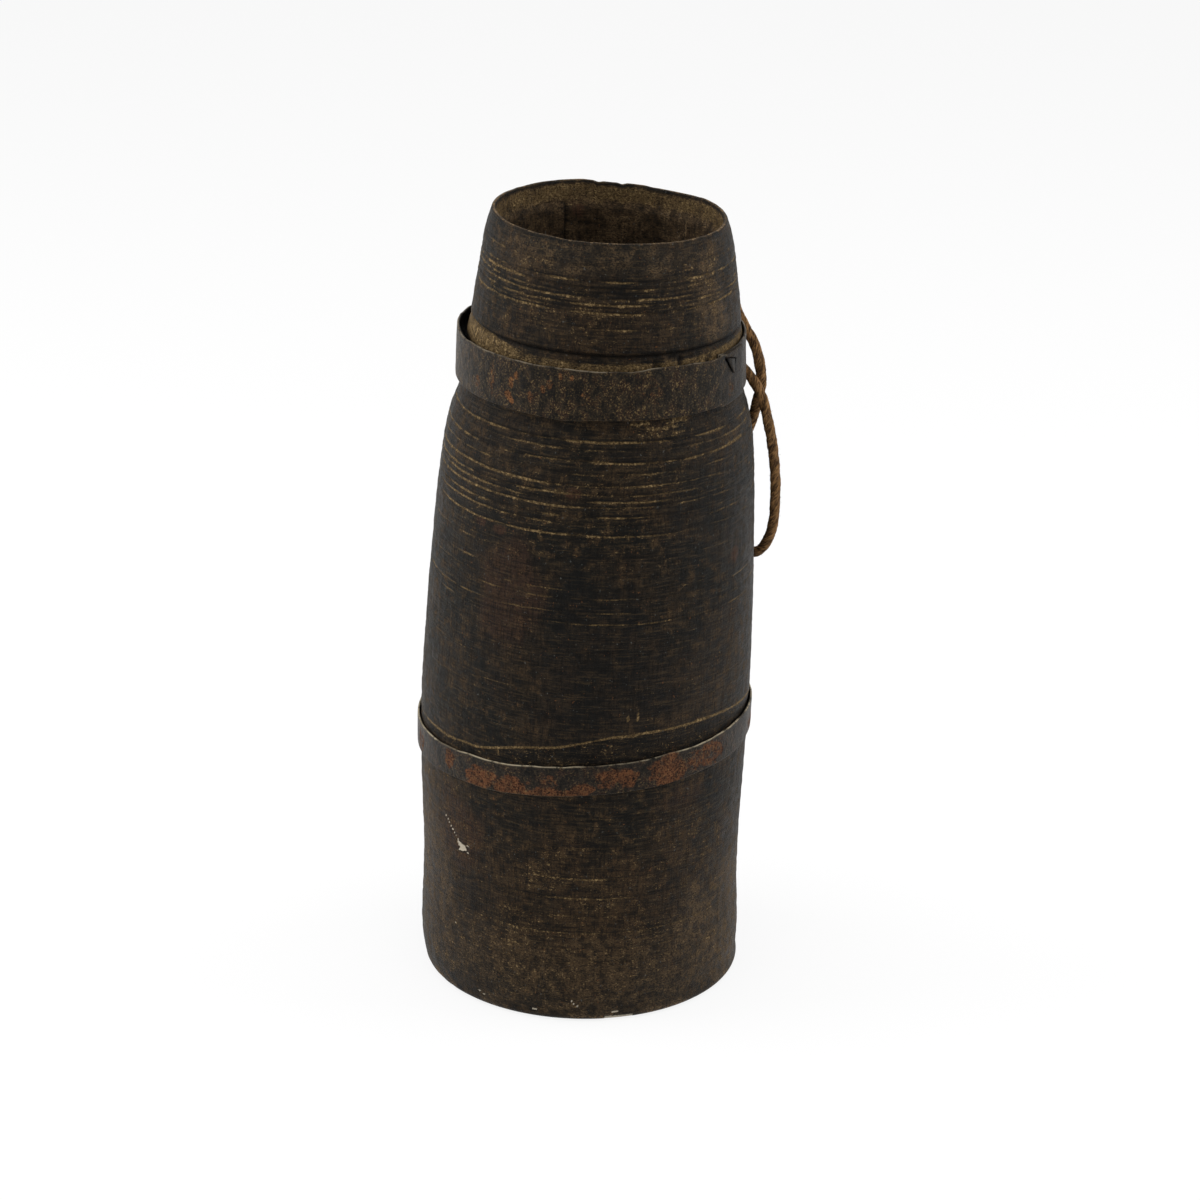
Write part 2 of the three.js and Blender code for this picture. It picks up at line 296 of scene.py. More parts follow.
class Finish:
    """A material with a Principled shader, and short names for the nodes it needs."""

    def __init__(self, name, specular, metallic=0.0):
        self.material = bpy.data.materials.new(name)
        self.material.use_nodes = True
        self.tree = self.material.node_tree
        self.shader = self.tree.nodes["Principled BSDF"]
        self.shader.inputs["Metallic"].default_value = metallic
        self.shader.inputs["Specular IOR Level"].default_value = specular

    def feed(self, socket, value):
        """Links a node to a socket, or sets the socket to a number or colour."""
        if isinstance(value, bpy.types.NodeSocket):
            self.tree.links.new(value, socket)
        elif isinstance(value, tuple) and len(value) == 3 and socket.type == "RGBA":
            socket.default_value = (*value, 1.0)
        else:
            socket.default_value = value

    def attribute(self, name, output="Fac"):
        node = self.tree.nodes.new("ShaderNodeAttribute")
        node.attribute_name = name
        return node.outputs[output]

    def noise(self, size, detail, roughness, stretch=(1.0, 1.0, 1.0)):
        """Noise from 0 to 1 at the stored place, whose features are about size millimetres."""
        place = self.tree.nodes.new("ShaderNodeVectorMath")
        place.operation = "MULTIPLY"
        self.feed(place.inputs[0], self.attribute("turned", "Vector"))
        self.feed(place.inputs[1], stretch)
        node = self.tree.nodes.new("ShaderNodeTexNoise")
        self.feed(node.inputs["Vector"], place.outputs[0])
        node.inputs["Scale"].default_value = 1.0 / size
        node.inputs["Detail"].default_value = detail
        node.inputs["Roughness"].default_value = roughness
        return node.outputs["Fac"]

    def level(self, value, low, high, to_low=0.0, to_high=1.0):
        """The value taken smoothly from low..high to to_low..to_high."""
        node = self.tree.nodes.new("ShaderNodeMapRange")
        node.interpolation_type = "SMOOTHSTEP"
        self.feed(node.inputs["Value"], value)
        for key, number in (("From Min", low), ("From Max", high), ("To Min", to_low), ("To Max", to_high)):
            self.feed(node.inputs[key], number)
        return node.outputs["Result"]

    def calc(self, operation, a, b, clamp=False):
        node = self.tree.nodes.new("ShaderNodeMath")
        node.operation = operation
        node.use_clamp = clamp
        self.feed(node.inputs[0], a)
        self.feed(node.inputs[1], b)
        return node.outputs[0]

    def times(self, a, b, clamp=False):
        return self.calc("MULTIPLY", a, b, clamp)

    def plus(self, a, b, clamp=False):
        return self.calc("ADD", a, b, clamp)

    def total(self, *parts):
        """The sum of the parts, each a value and its weight."""
        result = self.times(*parts[0])
        for part in parts[1:]:
            result = self.plus(result, self.times(*part))
        return result

    def mix(self, factor, a, b):
        node = self.tree.nodes.new("ShaderNodeMix")
        node.data_type = "RGBA"
        self.feed(node.inputs["Factor"], factor)
        self.feed(node.inputs["A"], a)
        self.feed(node.inputs["B"], b)
        return node.outputs["Result"]

    def layers(self, colour, layers):
        """Colours laid over one another, each as strongly as its factor says."""
        for factor, tone in layers:
            colour = self.mix(factor, colour, tone)
        return colour

    def bump(self, height, distance):
        """A normal bent by the height, times this many millimetres."""
        node = self.tree.nodes.new("ShaderNodeBump")
        node.inputs["Distance"].default_value = distance * MM
        self.feed(node.inputs["Height"], height)
        return node.outputs["Normal"]

    def finish(self, colour, roughness, normal):
        self.feed(self.shader.inputs["Base Color"], colour)
        self.feed(self.shader.inputs["Roughness"], roughness)
        self.feed(self.shader.inputs["Normal"], normal)
        return self.material


def rgb(red, green, blue):
    """A colour from 0 to 255, as it looks on screen, in the form that the shader needs."""
    return tuple(
        c / 12.92 if c <= 0.04045 else ((c + 0.055) / 1.055) ** 2.4
        for c in (red / 255.0, green / 255.0, blue / 255.0)
    )


def wood_material():
    """Dark turned wood: charcoal and brown by patches, crumbs of ochre dust, upright fibre, lathe marks, and
    painted shade where the dark mask says.
    """
    m = Finish("aged_turned_wood", specular=0.07)
    patch = m.noise(24.0, 3.0, 0.6)
    cloud = m.noise(5.0, 4.0, 0.65)
    fibre = m.noise(0.9, 3.0, 0.65, (1.0, 1.0, 0.09))
    lathe = m.noise(0.9, 4.0, 0.65, (0.08, 0.08, 1.0))
    crumbs = m.noise(0.75, 3.0, 0.75, (0.62, 0.62, 1.1))
    pits = m.noise(0.9, 3.0, 0.75, (1.0, 1.0, 1.3))
    flecks = m.noise(1.2, 2.0, 0.6, (0.9, 0.9, 0.7))
    soot, dust = m.attribute("soot"), m.attribute("dust")

    warm = m.plus(m.attribute("warm"), m.level(patch, 0.36, 0.68, 0.0, 0.6), clamp=True)
    worn = m.times(m.attribute("worn"), m.level(cloud, 0.42, 0.60, 0.4, 1.35), clamp=True)
    worn_look = m.mix(m.level(crumbs, 0.38, 0.62), rgb(43, 34, 25), rgb(131, 108, 79))
    film = m.times(dust, m.level(cloud, 0.3, 0.6, 0.7, 1.0))
    film_look = m.mix(m.level(crumbs, 0.36, 0.6), rgb(64, 50, 32), rgb(146, 120, 78))
    colour = m.layers(m.mix(warm, rgb(24, 23, 19), rgb(55, 42, 28)), [
        (m.level(cloud, 0.38, 0.50, 0.7, 0.0), rgb(12, 11, 10)),
        (m.level(cloud, 0.52, 0.64, 0.0, 0.6), rgb(76, 59, 40)),
        (m.attribute("red"), rgb(67, 44, 31)),
        (soot, rgb(17, 18, 18)),
        (m.level(fibre, 0.38, 0.52, 0.6, 0.0), rgb(9, 8, 7)),
        (m.level(lathe, 0.38, 0.47, 0.6, 0.0), rgb(8, 7, 6)),
        (m.level(lathe, 0.52, 0.64, 0.0, 0.55), rgb(62, 50, 34)),
        (worn, worn_look),
        (m.level(film, 0.1, 0.7, 0.0, 0.9), film_look),
        (m.level(pits, 0.36, 0.46, 0.9, 0.0), rgb(6, 5, 4)),
    ])

    spread = m.plus(m.level(cloud, 0.42, 0.68, 0.0, 0.3), m.level(lathe, 0.52, 0.64, 0.0, 0.15))
    spread = m.plus(spread, m.times(m.attribute("gritty"), 0.4))
    spread = m.calc("SUBTRACT", m.plus(spread, dust), m.times(soot, 0.25), clamp=True)
    heaped = m.plus(crumbs, m.times(spread, 0.24))
    settled = m.times(m.level(heaped, 0.67, 0.75), m.level(spread, 0.0, 0.7, 0.45, 1.0))
    grains = m.mix(m.level(flecks, 0.38, 0.66), rgb(66, 53, 36), rgb(152, 128, 90))
    chip = m.level(m.plus(m.attribute("chip"), m.times(pits, 0.7)), 0.72, 0.92)
    colour = m.layers(colour, [
        (settled, grains),
        (m.level(flecks, 0.70, 0.74, 0.0, 0.6), rgb(108, 70, 40)),
        (m.level(flecks, 0.31, 0.27, 0.0, 0.55), rgb(92, 93, 90)),
        # The dark mask is painted shade: in the groove, above turned lines, in broken wood, deep inside and
        # in the crack.
        (m.attribute("dark"), rgb(6, 5, 4)),
        (chip, rgb(176, 166, 148)),
    ])

    rough = m.calc("SUBTRACT", m.level(cloud, 0.3, 0.7, 0.42, 0.58), m.times(soot, 0.12))
    rough = m.plus(rough, m.times(settled, 0.4))
    height = m.total((fibre, 0.6), (lathe, 0.8), (pits, 1.1), (settled, 0.3))
    return m.finish(colour, rough, m.bump(height, 0.6))


def iron_material(name, base, shade, rust, bright, edge_wear_and_highlight, glints):
    """Old forged strap: dark mottled iron, rust where the mask says, paler along its edges, partly wear and
    partly a painted highlight on the top edge.
    """
    m = Finish(name, specular=0.09, metallic=0.1)
    mottle = m.noise(2.8, 5.0, 0.72, (1.0, 1.0, 0.6))
    tint = m.noise(4.5, 3.0, 0.65, (1.1, 1.1, 0.7))
    drip = m.noise(1.1, 3.0, 0.65, (1.0, 1.0, 0.2))
    grit = m.noise(0.85, 3.0, 0.75)
    flecks = m.noise(2.0, 4.0, 0.7, (0.9, 0.9, 0.7))

    broken = m.times(m.calc("SUBTRACT", flecks, 0.5), 2.2)
    rusty = m.level(m.plus(m.attribute("rust"), broken), 0.38, 1.0)
    rusty_look = m.mix(m.level(m.total((grit, 0.55), (mottle, 0.45)), 0.40, 0.60), rust, bright)
    glint = m.times(m.level(grit, 0.55, 0.64, 0.0, glints), m.level(tint, 0.42, 0.60, 0.25, 1.0))
    edge = m.times(m.attribute("edge"), m.level(mottle, 0.34, 0.52))
    colour = m.layers(m.mix(m.level(mottle, 0.38, 0.62), shade, base), [
        (m.level(tint, 0.46, 0.64, 0.0, 0.55), rust),
        (m.level(tint, 0.36, 0.48, 0.65, 0.0), rgb(14, 13, 12)),
        (m.times(rusty, 0.92), rusty_look),
        (m.level(drip, 0.54, 0.68, 0.0, 0.3), rgb(58, 50, 38)),
        (glint, rgb(112, 94, 62)),
        (m.level(grit, 0.37, 0.46, 0.9, 0.0), rgb(9, 8, 7)),
        # Pale edges: partly wear, partly a painted highlight on the top edge.
        (edge, edge_wear_and_highlight),
        # Dark mask: painted shade on the strap's back and in the barb's cut, over grime near the lap.
        (m.attribute("dark"), rgb(5, 4, 4)),
    ])
    rough = m.level(rusty, 0.0, 1.0, 0.42, 0.78)
    height = m.total((mottle, 1.2), (grit, 0.8))
    return m.finish(colour, rough, m.bump(height, 0.5))


def rope_material():
    """Coarse plant fibre: matted golden brown yarns, with painted shade in the grooves between them."""
    m = Finish("plant_fibre_rope", specular=0.15)
    fibre = m.noise(0.5, 3.0, 0.65, (1.0, 1.0, 0.22))
    blotch = m.noise(2.6, 4.0, 0.7, (1.0, 1.0, 0.6))
    colour = m.layers(m.mix(m.level(fibre, 0.38, 0.60), rgb(44, 28, 16), rgb(152, 114, 72)), [
        (m.level(blotch, 0.46, 0.62, 0.0, 0.7), rgb(50, 33, 19)),
        (m.attribute("crease_shade"), rgb(30, 19, 10)),
    ])
    return m.finish(colour, 0.9, m.bump(fibre, 0.6))


FLOOR_GLOW = 0.84


def floor_material():
    """A pale floor that the camera and reflections see as near white, with a soft shadow kept."""
    m = Finish("pale_floor", specular=0.1)
    m.shader.inputs["Base Color"].default_value = (0.86, 0.86, 0.86, 1.0)
    m.shader.inputs["Roughness"].default_value = 0.9
    nodes, links = m.tree.nodes, m.tree.links
    glow = nodes.new("ShaderNodeEmission")
    path = nodes.new("ShaderNodeLightPath")
    share = m.times(seen_rays(m, path), FLOOR_GLOW)
    mixed = nodes.new("ShaderNodeMixShader")
    links.new(share, mixed.inputs["Fac"])
    links.new(m.shader.outputs["BSDF"], mixed.inputs[1])
    links.new(glow.outputs["Emission"], mixed.inputs[2])
    links.new(mixed.outputs["Shader"], nodes["Material Output"].inputs["Surface"])
    return m.material


def seen_rays(m, path):
    """1 for rays from the camera, from a reflection or through glass."""
    seen = m.calc("MAXIMUM", path.outputs["Is Camera Ray"], path.outputs["Is Glossy Ray"])
    return m.calc("MAXIMUM", seen, path.outputs["Is Transmission Ray"])


# The pot

# Turned lines that hold ochre dust, as (height, depth, dust at the left, front and right)

DUST_LINES = [
    (386, 0.25, 0.4, 0.3, 0.2), (379, 0.4, 0.8, 0.6, 0.4), (376.2, 0.4, 0.9, 0.7, 0.3),
    (373.6, 0.35, 0.5, 0.4, 0.3), (371, 0.4, 0.5, 0.7, 0.5), (368.4, 0.4, 0.5, 0.6, 0.6),
    (366.4, 0.3, 0.3, 0.4, 0.3), (364.6, 0.45, 0.8, 0.7, 0.8),
    (357, 0.25, 0.2, 0.3, 0.3), (303.2, 0.55, 1, 0.9, 0.5), (299.6, 0.3, 0.3, 0.4, 0.3),
    (294, 0.5, 0.8, 0.9, 0.9), (288.7, 0.3, 0.4, 0.3, 0.3), (283, 0.35, 0.9, 0.6, 0.3),
    (278.3, 0.35, 0.9, 0.6, 0.3), (275.3, 0.3, 0.6, 0.6, 0.2), (272.5, 0.3, 0.8, 0.6, 0.3),
    (267.8, 0.35, 0.9, 0.7, 0.3), (264, 0.3, 0.7, 0.5, 0.3), (258.5, 0.3, 0.8, 0.5, 0.2),
    (247, 0.2, 0.3, 0.2, 0.2), (237, 0.2, 0.5, 0.1, 0.2), (231, 0.2, 0.6, 0.1, 0.2),
    (227, 0.25, 0.4, 0.2, 0.3), (219.5, 0.25, 0.5, 0.3, 0.4), (214, 0.25, 0.3, 0.3, 0.4),
    (199, 0.2, 0.2, 0.2, 0.2), (190, 0.2, 0.2, 0.1, 0.2), (178, 0.2, 0.2, 0.2, 0.2),
    (112, 0.2, 0.1, 0.2, 0.1), (96, 0.2, 0.1, 0.3, 0.1), (79, 0.25, 0.1, 0.4, 0.1),
    (68, 0.25, 0.1, 0.4, 0.2), (58, 0.2, 0.1, 0.3, 0.2), (49, 0.25, 0.2, 0.4, 0.3),
    (40, 0.2, 0.2, 0.3, 0.2), (33, 0.2, 0.2, 0.2, 0.2),
]
LINE_HALF_WIDTH = 0.5
DEGREE_LENGTH = 1.42

# The mark of an earlier hoop, as (angle, height) from the left round the front to the back

OLD_HOOP_LINE = [
    (-180, 137), (-150, 138.6), (-131, 140.4), (-112, 146.5), (-100, 149.5), (-88, 153.5),
    (-70, 157.3), (-45, 157.6), (-16, 154), (0, 151.6), (60, 147), (120, 141), (180, 137),
]

# Patches of each mask, as (angle, height, half width in degrees, half height in mm, strength)

PATCHES = {
    "warm": [
        (-150, 100, 30, 60, 0.6), (-95, 60, 45, 40, 0.5), (-60, 150, 40, 40, 0.35), (-75, 310, 22, 8, 0.5),
        (-110, 180, 16, 26, 0.3), (-140, 285, 20, 20, 0.35), (-110, 356, 60, 14, 0.6),
        (-135, 384, 20, 10, 0.6), (-50, 370, 16, 20, 0.4), (-90, 70, 90, 50, 0.3),
    ],
    "red": [
        (-118, 225, 14, 27, 0.42), (-138, 95, 14, 22, 0.4), (-99, 279, 3, 3, 0.8), (-30, 238, 2.5, 4, 0.8),
        (-126, 255, 3, 2.5, 0.7), (-135, 256, 2.5, 2.5, 0.7), (-52, 120, 12, 10, 0.25),
    ],
    "soot": [
        (-90, 200, 22, 60, 0.6), (-58, 309.5, 2.5, 3, 0.9), (-40, 260, 30, 30, 0.5), (-88, 388, 30, 3.5, 0.5),
    ],
    "worn": [
        # (-90, 389, 75, 7, 0.2) is a painted sheen: a pale band for the grey reflection on the neck's top.
        (-165, 60, 20, 60, 0.25), (-20, 40, 30, 40, 0.3), (-90, 389, 75, 7, 0.2), (-38, 368, 14, 24, 0.3),
        (-88, 26, 80, 24, 0.2), (-140, 384, 14, 12, 0.2),
    ],
    "gritty": [
        (-104, 77, 9, 12, 0.9), (-83, 68, 9, 10, 0.8), (-111, 50, 10, 10, 0.8), (-64, 48, 12, 12, 0.8),
        (-93, 90, 12, 8, 0.6), (-66, 310, 14, 7, 0.9), (-130, 60, 30, 30, 0.5), (-45, 70, 20, 40, 0.5),
        (-100, 270, 80, 30, 0.35), (-148, 371, 9, 10, 1), (-60, 170, 25, 20, 0.3),
        (-100, 362, 70, 14, 0.6), (-130, 385, 16, 10, 0.6), (-45, 380, 18, 10, 0.8), (-90, 25, 80, 22, 0.7),
        (-155, 100, 25, 30, 0.5), (-90, 60, 90, 55, 0.45),
    ],
    "dust": [
        (-75.5, 166, 0.5, 2.2, 0.9), (-72, 167.5, 0.5, 2.5, 0.9), (-76, 311.5, 5, 0.9, 0.5),
        (-67, 309, 8, 0.8, 0.5), (-70, 306, 6, 0.7, 0.45), (-57, 312.5, 5, 1.6, 0.5),
        (-58, 306.5, 4, 0.7, 0.4), (-62, 311.5, 3, 2, 0.35),
    ],
    "chip": [
        (-136, 82.5, 2.1, 2.2, 1), (-133.8, 80.4, 0.7, 1, 0.8), (-138.4, 84.6, 0.7, 0.8, 0.8),
        (-138, 80.2, 0.6, 0.8, 0.7), (-133.6, 84.4, 0.6, 0.7, 0.6), (-64, 346.5, 0.9, 0.6, 0.5),
        (-128, 7, 1, 0.8, 0.7), (-126, 6, 0.8, 0.6, 0.6), (-106, 5, 1.6, 0.8, 0.7),
        (-103, 4.5, 0.8, 0.6, 0.6), (-94, 8, 0.8, 0.7, 0.6), (-77, 5, 1.5, 0.7, 0.7),
    ],
}

# Pale scratches, as lines of (angle, height)

SCRATCHES = [
    [(-146, 94.8), (-141, 88.5), (-137, 83.5)],
    [(-140, 38.4), (-135, 37.4)],
    [(-92.5, 18), (-92, 11), (-89.5, 8)],
]
SCRATCH_HALF_WIDTH = 0.4

# How the pot's mesh is laid out

COLUMNS = 540
ROW_STEP = 1.3
LEAST_ROW_GAP = 0.24
WALL_TOP = 394.6
CORNER_STEPS = 6
LIP_STEPS = 8
MASKS = ("dust", "dark", "warm", "red", "soot", "worn", "gritty", "chip")

# Dirt on the shoulder, as (angle, how far it reaches above SHOULDER_DIRT_TOP) and (angle, how thick)

SHOULDER_DIRT_TOP = 338.0
SHOULDER_DIRT_FOOT = 334.0
SHOULDER_DIRT_REACH = [
    (-180, 9), (-150, 8), (-125, 4.5), (-100, 3.6), (-60, 4.2), (-20, 5), (60, 5), (180, 9),
]
SHOULDER_DIRT_LOAD = [
    (-180, 1), (-150, 1), (-120, 0.9), (-60, 0.85), (-20, 0.85), (60, 0.6), (180, 0.8),
]

# Where the mouth's edge is worn down or notched, as (angle, half width in degrees, depth)

MOUTH_WEAR = [(62, 34, 1.3), (90, 18, 1.3), (96, 3, 0.5), (84, 3, 0.7)]
MOUTH_WEAR_FOOT = 380.0
MOUTH_WEAR_ZONE = 14.0
CRACK_ANGLE = 114.0


def outer_heights():
    """Heights of the outer rows, closer together at turned lines, groove and the old hoop's mark."""
    heights = list(np.arange(FOOT_CORNER, WALL_TOP, ROW_STEP))
    for line in DUST_LINES:
        heights += [line[0] + step * LINE_HALF_WIDTH for step in (-2.0, -1.0, 0.0, 1.0, 2.0)]
    heights += [GROOVE_HEIGHT + step for step in (-1.1, -0.55, 0.0, 0.55, 1.1)]
    heights += list(np.arange(136.0, 160.0, 0.4))
    heights = sorted(h for h in heights if h <= WALL_TOP)
    kept = [heights[0]]
    for h in heights[1:]:
        if h - kept[-1] > LEAST_ROW_GAP:
            kept.append(h)
    return kept


def pot_rows():
    """The pot's rows as (radius, height, part), from the middle of the foot, outside, to the inner floor."""
    groove = [OUTER_WALL[-1][0] - GROOVE_DEPTH, GROOVE_HEIGHT]
    outline = np.vstack([WALL_LINE, groove, catmull_rom(NECK_WALL, 30)])
    rows = [(r, 0.0, "foot") for r in (20.0, 45.0, 65.0, 74.0)]
    for k in range(CORNER_STEPS):
        a = math.radians(-90.0 + 90.0 * k / CORNER_STEPS)
        rows.append((FOOT_RADIUS - FOOT_CORNER * (1 - math.cos(a)), FOOT_CORNER * (1 + math.sin(a)), "outer"))
    rows += [(float(np.interp(h, outline[:, 1], outline[:, 0])), h, "outer") for h in outer_heights()]
    lip = LIP_THICKNESS / 2
    for k in range(LIP_STEPS + 1):
        a = math.pi * k / LIP_STEPS
        rows.append((LIP_RADIUS - lip + lip * math.cos(a), MOUTH_HEIGHT - lip + lip * math.sin(a), "lip"))
    inner_lip = LIP_RADIUS - LIP_THICKNESS
    rows += [(inner_lip, h, "inner") for h in (393.6, 391.4, 389.2, 387.4)]
    for share in (0.1, 0.35, 0.65, 0.9, 1.0):
        radius = inner_lip - (inner_lip - LEDGE_RADIUS) * share
        rows.append((radius, LEDGE_HEIGHT + LEDGE_RISE - share * LEDGE_FALL, "inner"))
    for h in np.arange(380.5, 350.0, -2.4):
        rows.append((LEDGE_RADIUS - BORE_TAPER * (LEDGE_HEIGHT - h) / BORE_LENGTH, h, "inner"))
    cavity = catmull_rom(CAVITY_WALL, CURVE_STEPS)[::-1]
    for h in np.arange(349.0, 31.0, -4.0):
        rows.append((float(np.interp(h, cavity[:, 1], cavity[:, 0])), h, "inner"))
    for k in range(CORNER_STEPS + 1):
        a = math.radians(90.0 * k / CORNER_STEPS)
        radius = CAVITY_WALL[-1][0] - FLOOR_CORNER * (1 - math.cos(a))
        rows.append((radius, FLOOR_HEIGHT + FLOOR_CORNER * (1 - math.sin(a)), "inner"))
    return rows + [(r, FLOOR_HEIGHT, "inner") for r in (48.0, 32.0, 16.0)]


def round_the_pot(angle, stations):
    """A value that changes round the pot, from its (angle, value) stations."""
    return np.interp(angle, *zip(*stations))


def line_strength(angle, left, front, right):
    """Dust on a turned line: set at the left, the front and the right, and their mean behind."""
    behind = 0.45 * (left + right)
    sides = [left, left, left, front, right, right, behind, behind, behind, left]
    return np.interp(angle, [-180, -150, -120, -90, -60, -20, 20, 90, 150, 180], sides)


def patchy(angle, z, middle_angle, middle_z, half_angle, half_z, noise):
    """A soft-edged patch whose border is broken by noise."""
    away = (turn_from(angle, middle_angle) / half_angle) ** 2 + ((z - middle_z) / half_z) ** 2
    return ramp(1.25 - away + 0.5 * noise)


def away_from_line(across, up, start, end):
    """Distance from the straight line between two points, on a surface laid flat."""
    run, rise = end[0] - start[0], end[1] - start[1]
    share = unit(((across - start[0]) * run + (up - start[1]) * rise) / (run ** 2 + rise ** 2))
    return np.hypot(across - start[0] - share * run, up - start[1] - share * rise)


def scratches(angle, z, noise):
    """Thin broken pale lines scratched into the wood."""
    mask = np.zeros_like(z)
    for line in SCRATCHES:
        corners = [(corner_angle * DEGREE_LENGTH, height) for corner_angle, height in line]
        for start, end in zip(corners, corners[1:]):
            away = away_from_line(angle * DEGREE_LENGTH, z, start, end)
            mask = np.maximum(mask, ramp(1.6 - away / SCRATCH_HALF_WIDTH))
    return mask * np.clip(0.5 + 0.6 * noise, 0.0, 0.8)


class Surface:
    """The pot's surface as a grid of points, with the noise, relief and masks laid on it."""

    def __init__(self):
        self.rng = np.random.default_rng(SEED)
        rows = pot_rows()
        level = np.zeros((len(rows), COLUMNS))
        part = np.array([row[2] for row in rows])[:, None]
        self.turns = np.arange(COLUMNS)[None, :] / COLUMNS + level
        self.angle = self.turns * 360.0 - 180.0
        self.radius = np.array([row[0] for row in rows])[:, None] + level
        self.z = np.array([row[1] for row in rows])[:, None] + level
        self.lip = part == "lip"
        self.outer = (part == "outer") | self.lip
        self.inner = part == "inner"
        self.lower_strap = LOWER_MIDDLE + LOWER_TILT * LOWER_TILT_RADIUS * np.cos(np.radians(self.angle))
        self.broad = self.rough(14, 60.0)
        self.middle = self.rough(40, 16.0)
        self.fine = self.rough(150, 3.5)
        self.upright = self.rough(240, 40.0)
        self.ringed = self.rough(10, 2.6)
        self.ragged = self.rough(220, 1.2)
        self.relief = (
            0.25 * self.broad + 0.13 * self.middle + 0.11 * self.fine + 0.06 * self.upright
            + 0.10 * self.ringed + 0.05 * self.ragged
        )
        self.masks = {key: level for key in MASKS}

    def rough(self, cells, height):
        """Noise with this many cells round the pot, each this high."""
        return round_noise(self.rng, self.turns, self.z, cells, height)

    def along_ring(self, cells):
        """Noise that changes round the pot and not with height."""
        return round_noise(self.rng, self.turns, self.z * 0, cells, 1.0)

    def add(self, key, values):
        """Raises a mask to these values where it is lower."""
        self.masks[key] = np.maximum(self.masks[key], values)


def cut_lines(pot):
    """Turned lines and the groove: dust lies in them, and painted shade darkens the groove and the upper edge
    of most lines.
    """
    # Painted shade in the groove.
    pot.add("dark", np.exp(-(pot.z - GROOVE_HEIGHT - 0.3) ** 2) * 0.95 * pot.outer)
    for height, depth, left, front, right in DUST_LINES:
        wander = 0.45 * pot.along_ring(9) + 0.2 * pot.along_ring(60)
        away = pot.z - height - wander
        near = np.exp(-(away / LINE_HALF_WIDTH) ** 2)
        breaks = 0.60 + 0.8 * pot.along_ring(26) + 0.5 * pot.along_ring(110)
        strength = line_strength(pot.angle, left, front, right)
        pot.relief -= depth * near * (0.4 + 0.6 * strength)
        pot.add("dust", near * unit(strength * breaks * 1.2))
        # Painted shade: a dark band along the upper edge of the line.
        above = np.exp(-((away - 0.95) / 0.5) ** 2) * 0.75 * ramp(depth / 0.4)
        pot.add("dark", above * unit(0.7 + 0.5 * pot.along_ring(40)) * pot.outer)


def calm_relief(pot):
    """Fades the relief at foot and mouth, and keeps it low enough to stay under the straps."""
    pot.relief *= ramp((pot.z - 1.0) / 6.0) * ramp((MOUTH_HEIGHT - pot.z) / 5.0)
    hooped = np.maximum(hump(pot.z, UPPER_FOOT + UPPER_WIDTH / 2, 16.0), hump(pot.z, pot.lower_strap, 13.0))
    pot.relief = np.where(hooped > 0, np.minimum(pot.relief, 0.2), pot.relief)


def mark_old_hoop(pot):
    """The mark of an earlier hoop: a slightly sunk band with a dusty upper edge."""
    mark_z = round_the_pot(pot.angle, OLD_HOOP_LINE) + 0.6 * pot.along_ring(40)
    below = ramp((mark_z - pot.z) / 1.2) * ramp((pot.z - pot.lower_strap - 6.0) / 2.0)
    pot.relief -= 0.35 * below
    mark = np.exp(-((pot.z - mark_z - 0.4) / 0.7) ** 2)
    pot.add("dust", unit(mark * (0.75 + 0.4 * pot.along_ring(30) + 0.3 * pot.fine)))
    return below


def dirty_shoulder(pot):
    """Dirt on the shoulder above the hoop, and broken bits of wood at its front right, with painted shade in
    their hollows.
    """
    top = SHOULDER_DIRT_TOP + round_the_pot(pot.angle, SHOULDER_DIRT_REACH)
    dirt = ramp((top - pot.z) / 2.0) * ramp((pot.z - SHOULDER_DIRT_FOOT) / 3.0)
    dirt = dirt * round_the_pot(pot.angle, SHOULDER_DIRT_LOAD)
    pot.add("dust", unit(dirt * (0.8 + 0.4 * pot.middle + 0.4 * pot.fine)) * 0.8)
    # Painted shade is weakened where the dirt lies thick.
    pot.masks["dark"] = np.where(dirt > 0.5, pot.masks["dark"] * 0.6, pot.masks["dark"])
    broken = angle_hump(pot.angle, -58.0, 26.0) * hump(pot.z, 340.5, 5.5) * pot.outer
    pot.relief += broken * (0.8 * pot.fine + 0.6 * pot.ragged)
    # Painted shade in the hollows of the broken wood.
    pot.add("dark", broken * ramp((-0.6 * pot.fine - pot.ragged - 0.3) / 0.3))


def lay_patches(pot):
    """The listed patches of every mask, each with its own kind of broken border."""
    borders = {
        "gritty": pot.middle + 0.8 * pot.fine,
        "chip": pot.fine + pot.ragged,
        "dust": 2.0 * pot.fine + pot.ragged,
    }
    for key, spots in PATCHES.items():
        border = borders.get(key, pot.broad + 0.8 * pot.middle + 0.4 * pot.upright)
        for *spot, strength in spots:
            pot.add(key, strength * patchy(pot.angle, pot.z, *spot, border))


def wear_outside(pot, below_mark):
    """Warmth low down, soot, grit under the old mark, worn foot and lip, chips and scratches."""
    masks = pot.masks
    low_glow = 0.5 * hump(pot.z, 50.0, 75.0) * (0.7 + 0.5 * pot.broad)
    masks["warm"] = masks["warm"] + low_glow + 0.2 * ramp(pot.middle)
    pot.add("soot", np.maximum(0.45 * ramp(pot.broad), 0.6 * below_mark))
    pot.add("gritty", 0.9 * below_mark)
    masks["soot"] = masks["soot"] * (1.0 - unit(masks["red"] * 1.5))
    pot.add("worn", 0.75 * ramp((9.0 - pot.z) / 8.0) * unit(0.45 + 0.8 * pot.middle + 0.4 * pot.fine))
    pot.add("worn", 0.75 * ramp((pot.z - MOUTH_HEIGHT + 0.3) / 0.25) * pot.lip)
    bits = ramp((0.55 * pot.along_ring(90) + 0.5 * pot.along_ring(24) - 0.42) / 0.12)
    pot.add("chip", ramp((3.4 - pot.z) / 1.6) * bits * hump(pot.angle, -100.0, 75.0))
    pot.add("chip", scratches(pot.angle, pot.z, pot.fine + 0.5 * pot.ragged))
    pot.relief -= 0.4 * masks["chip"] * pot.outer


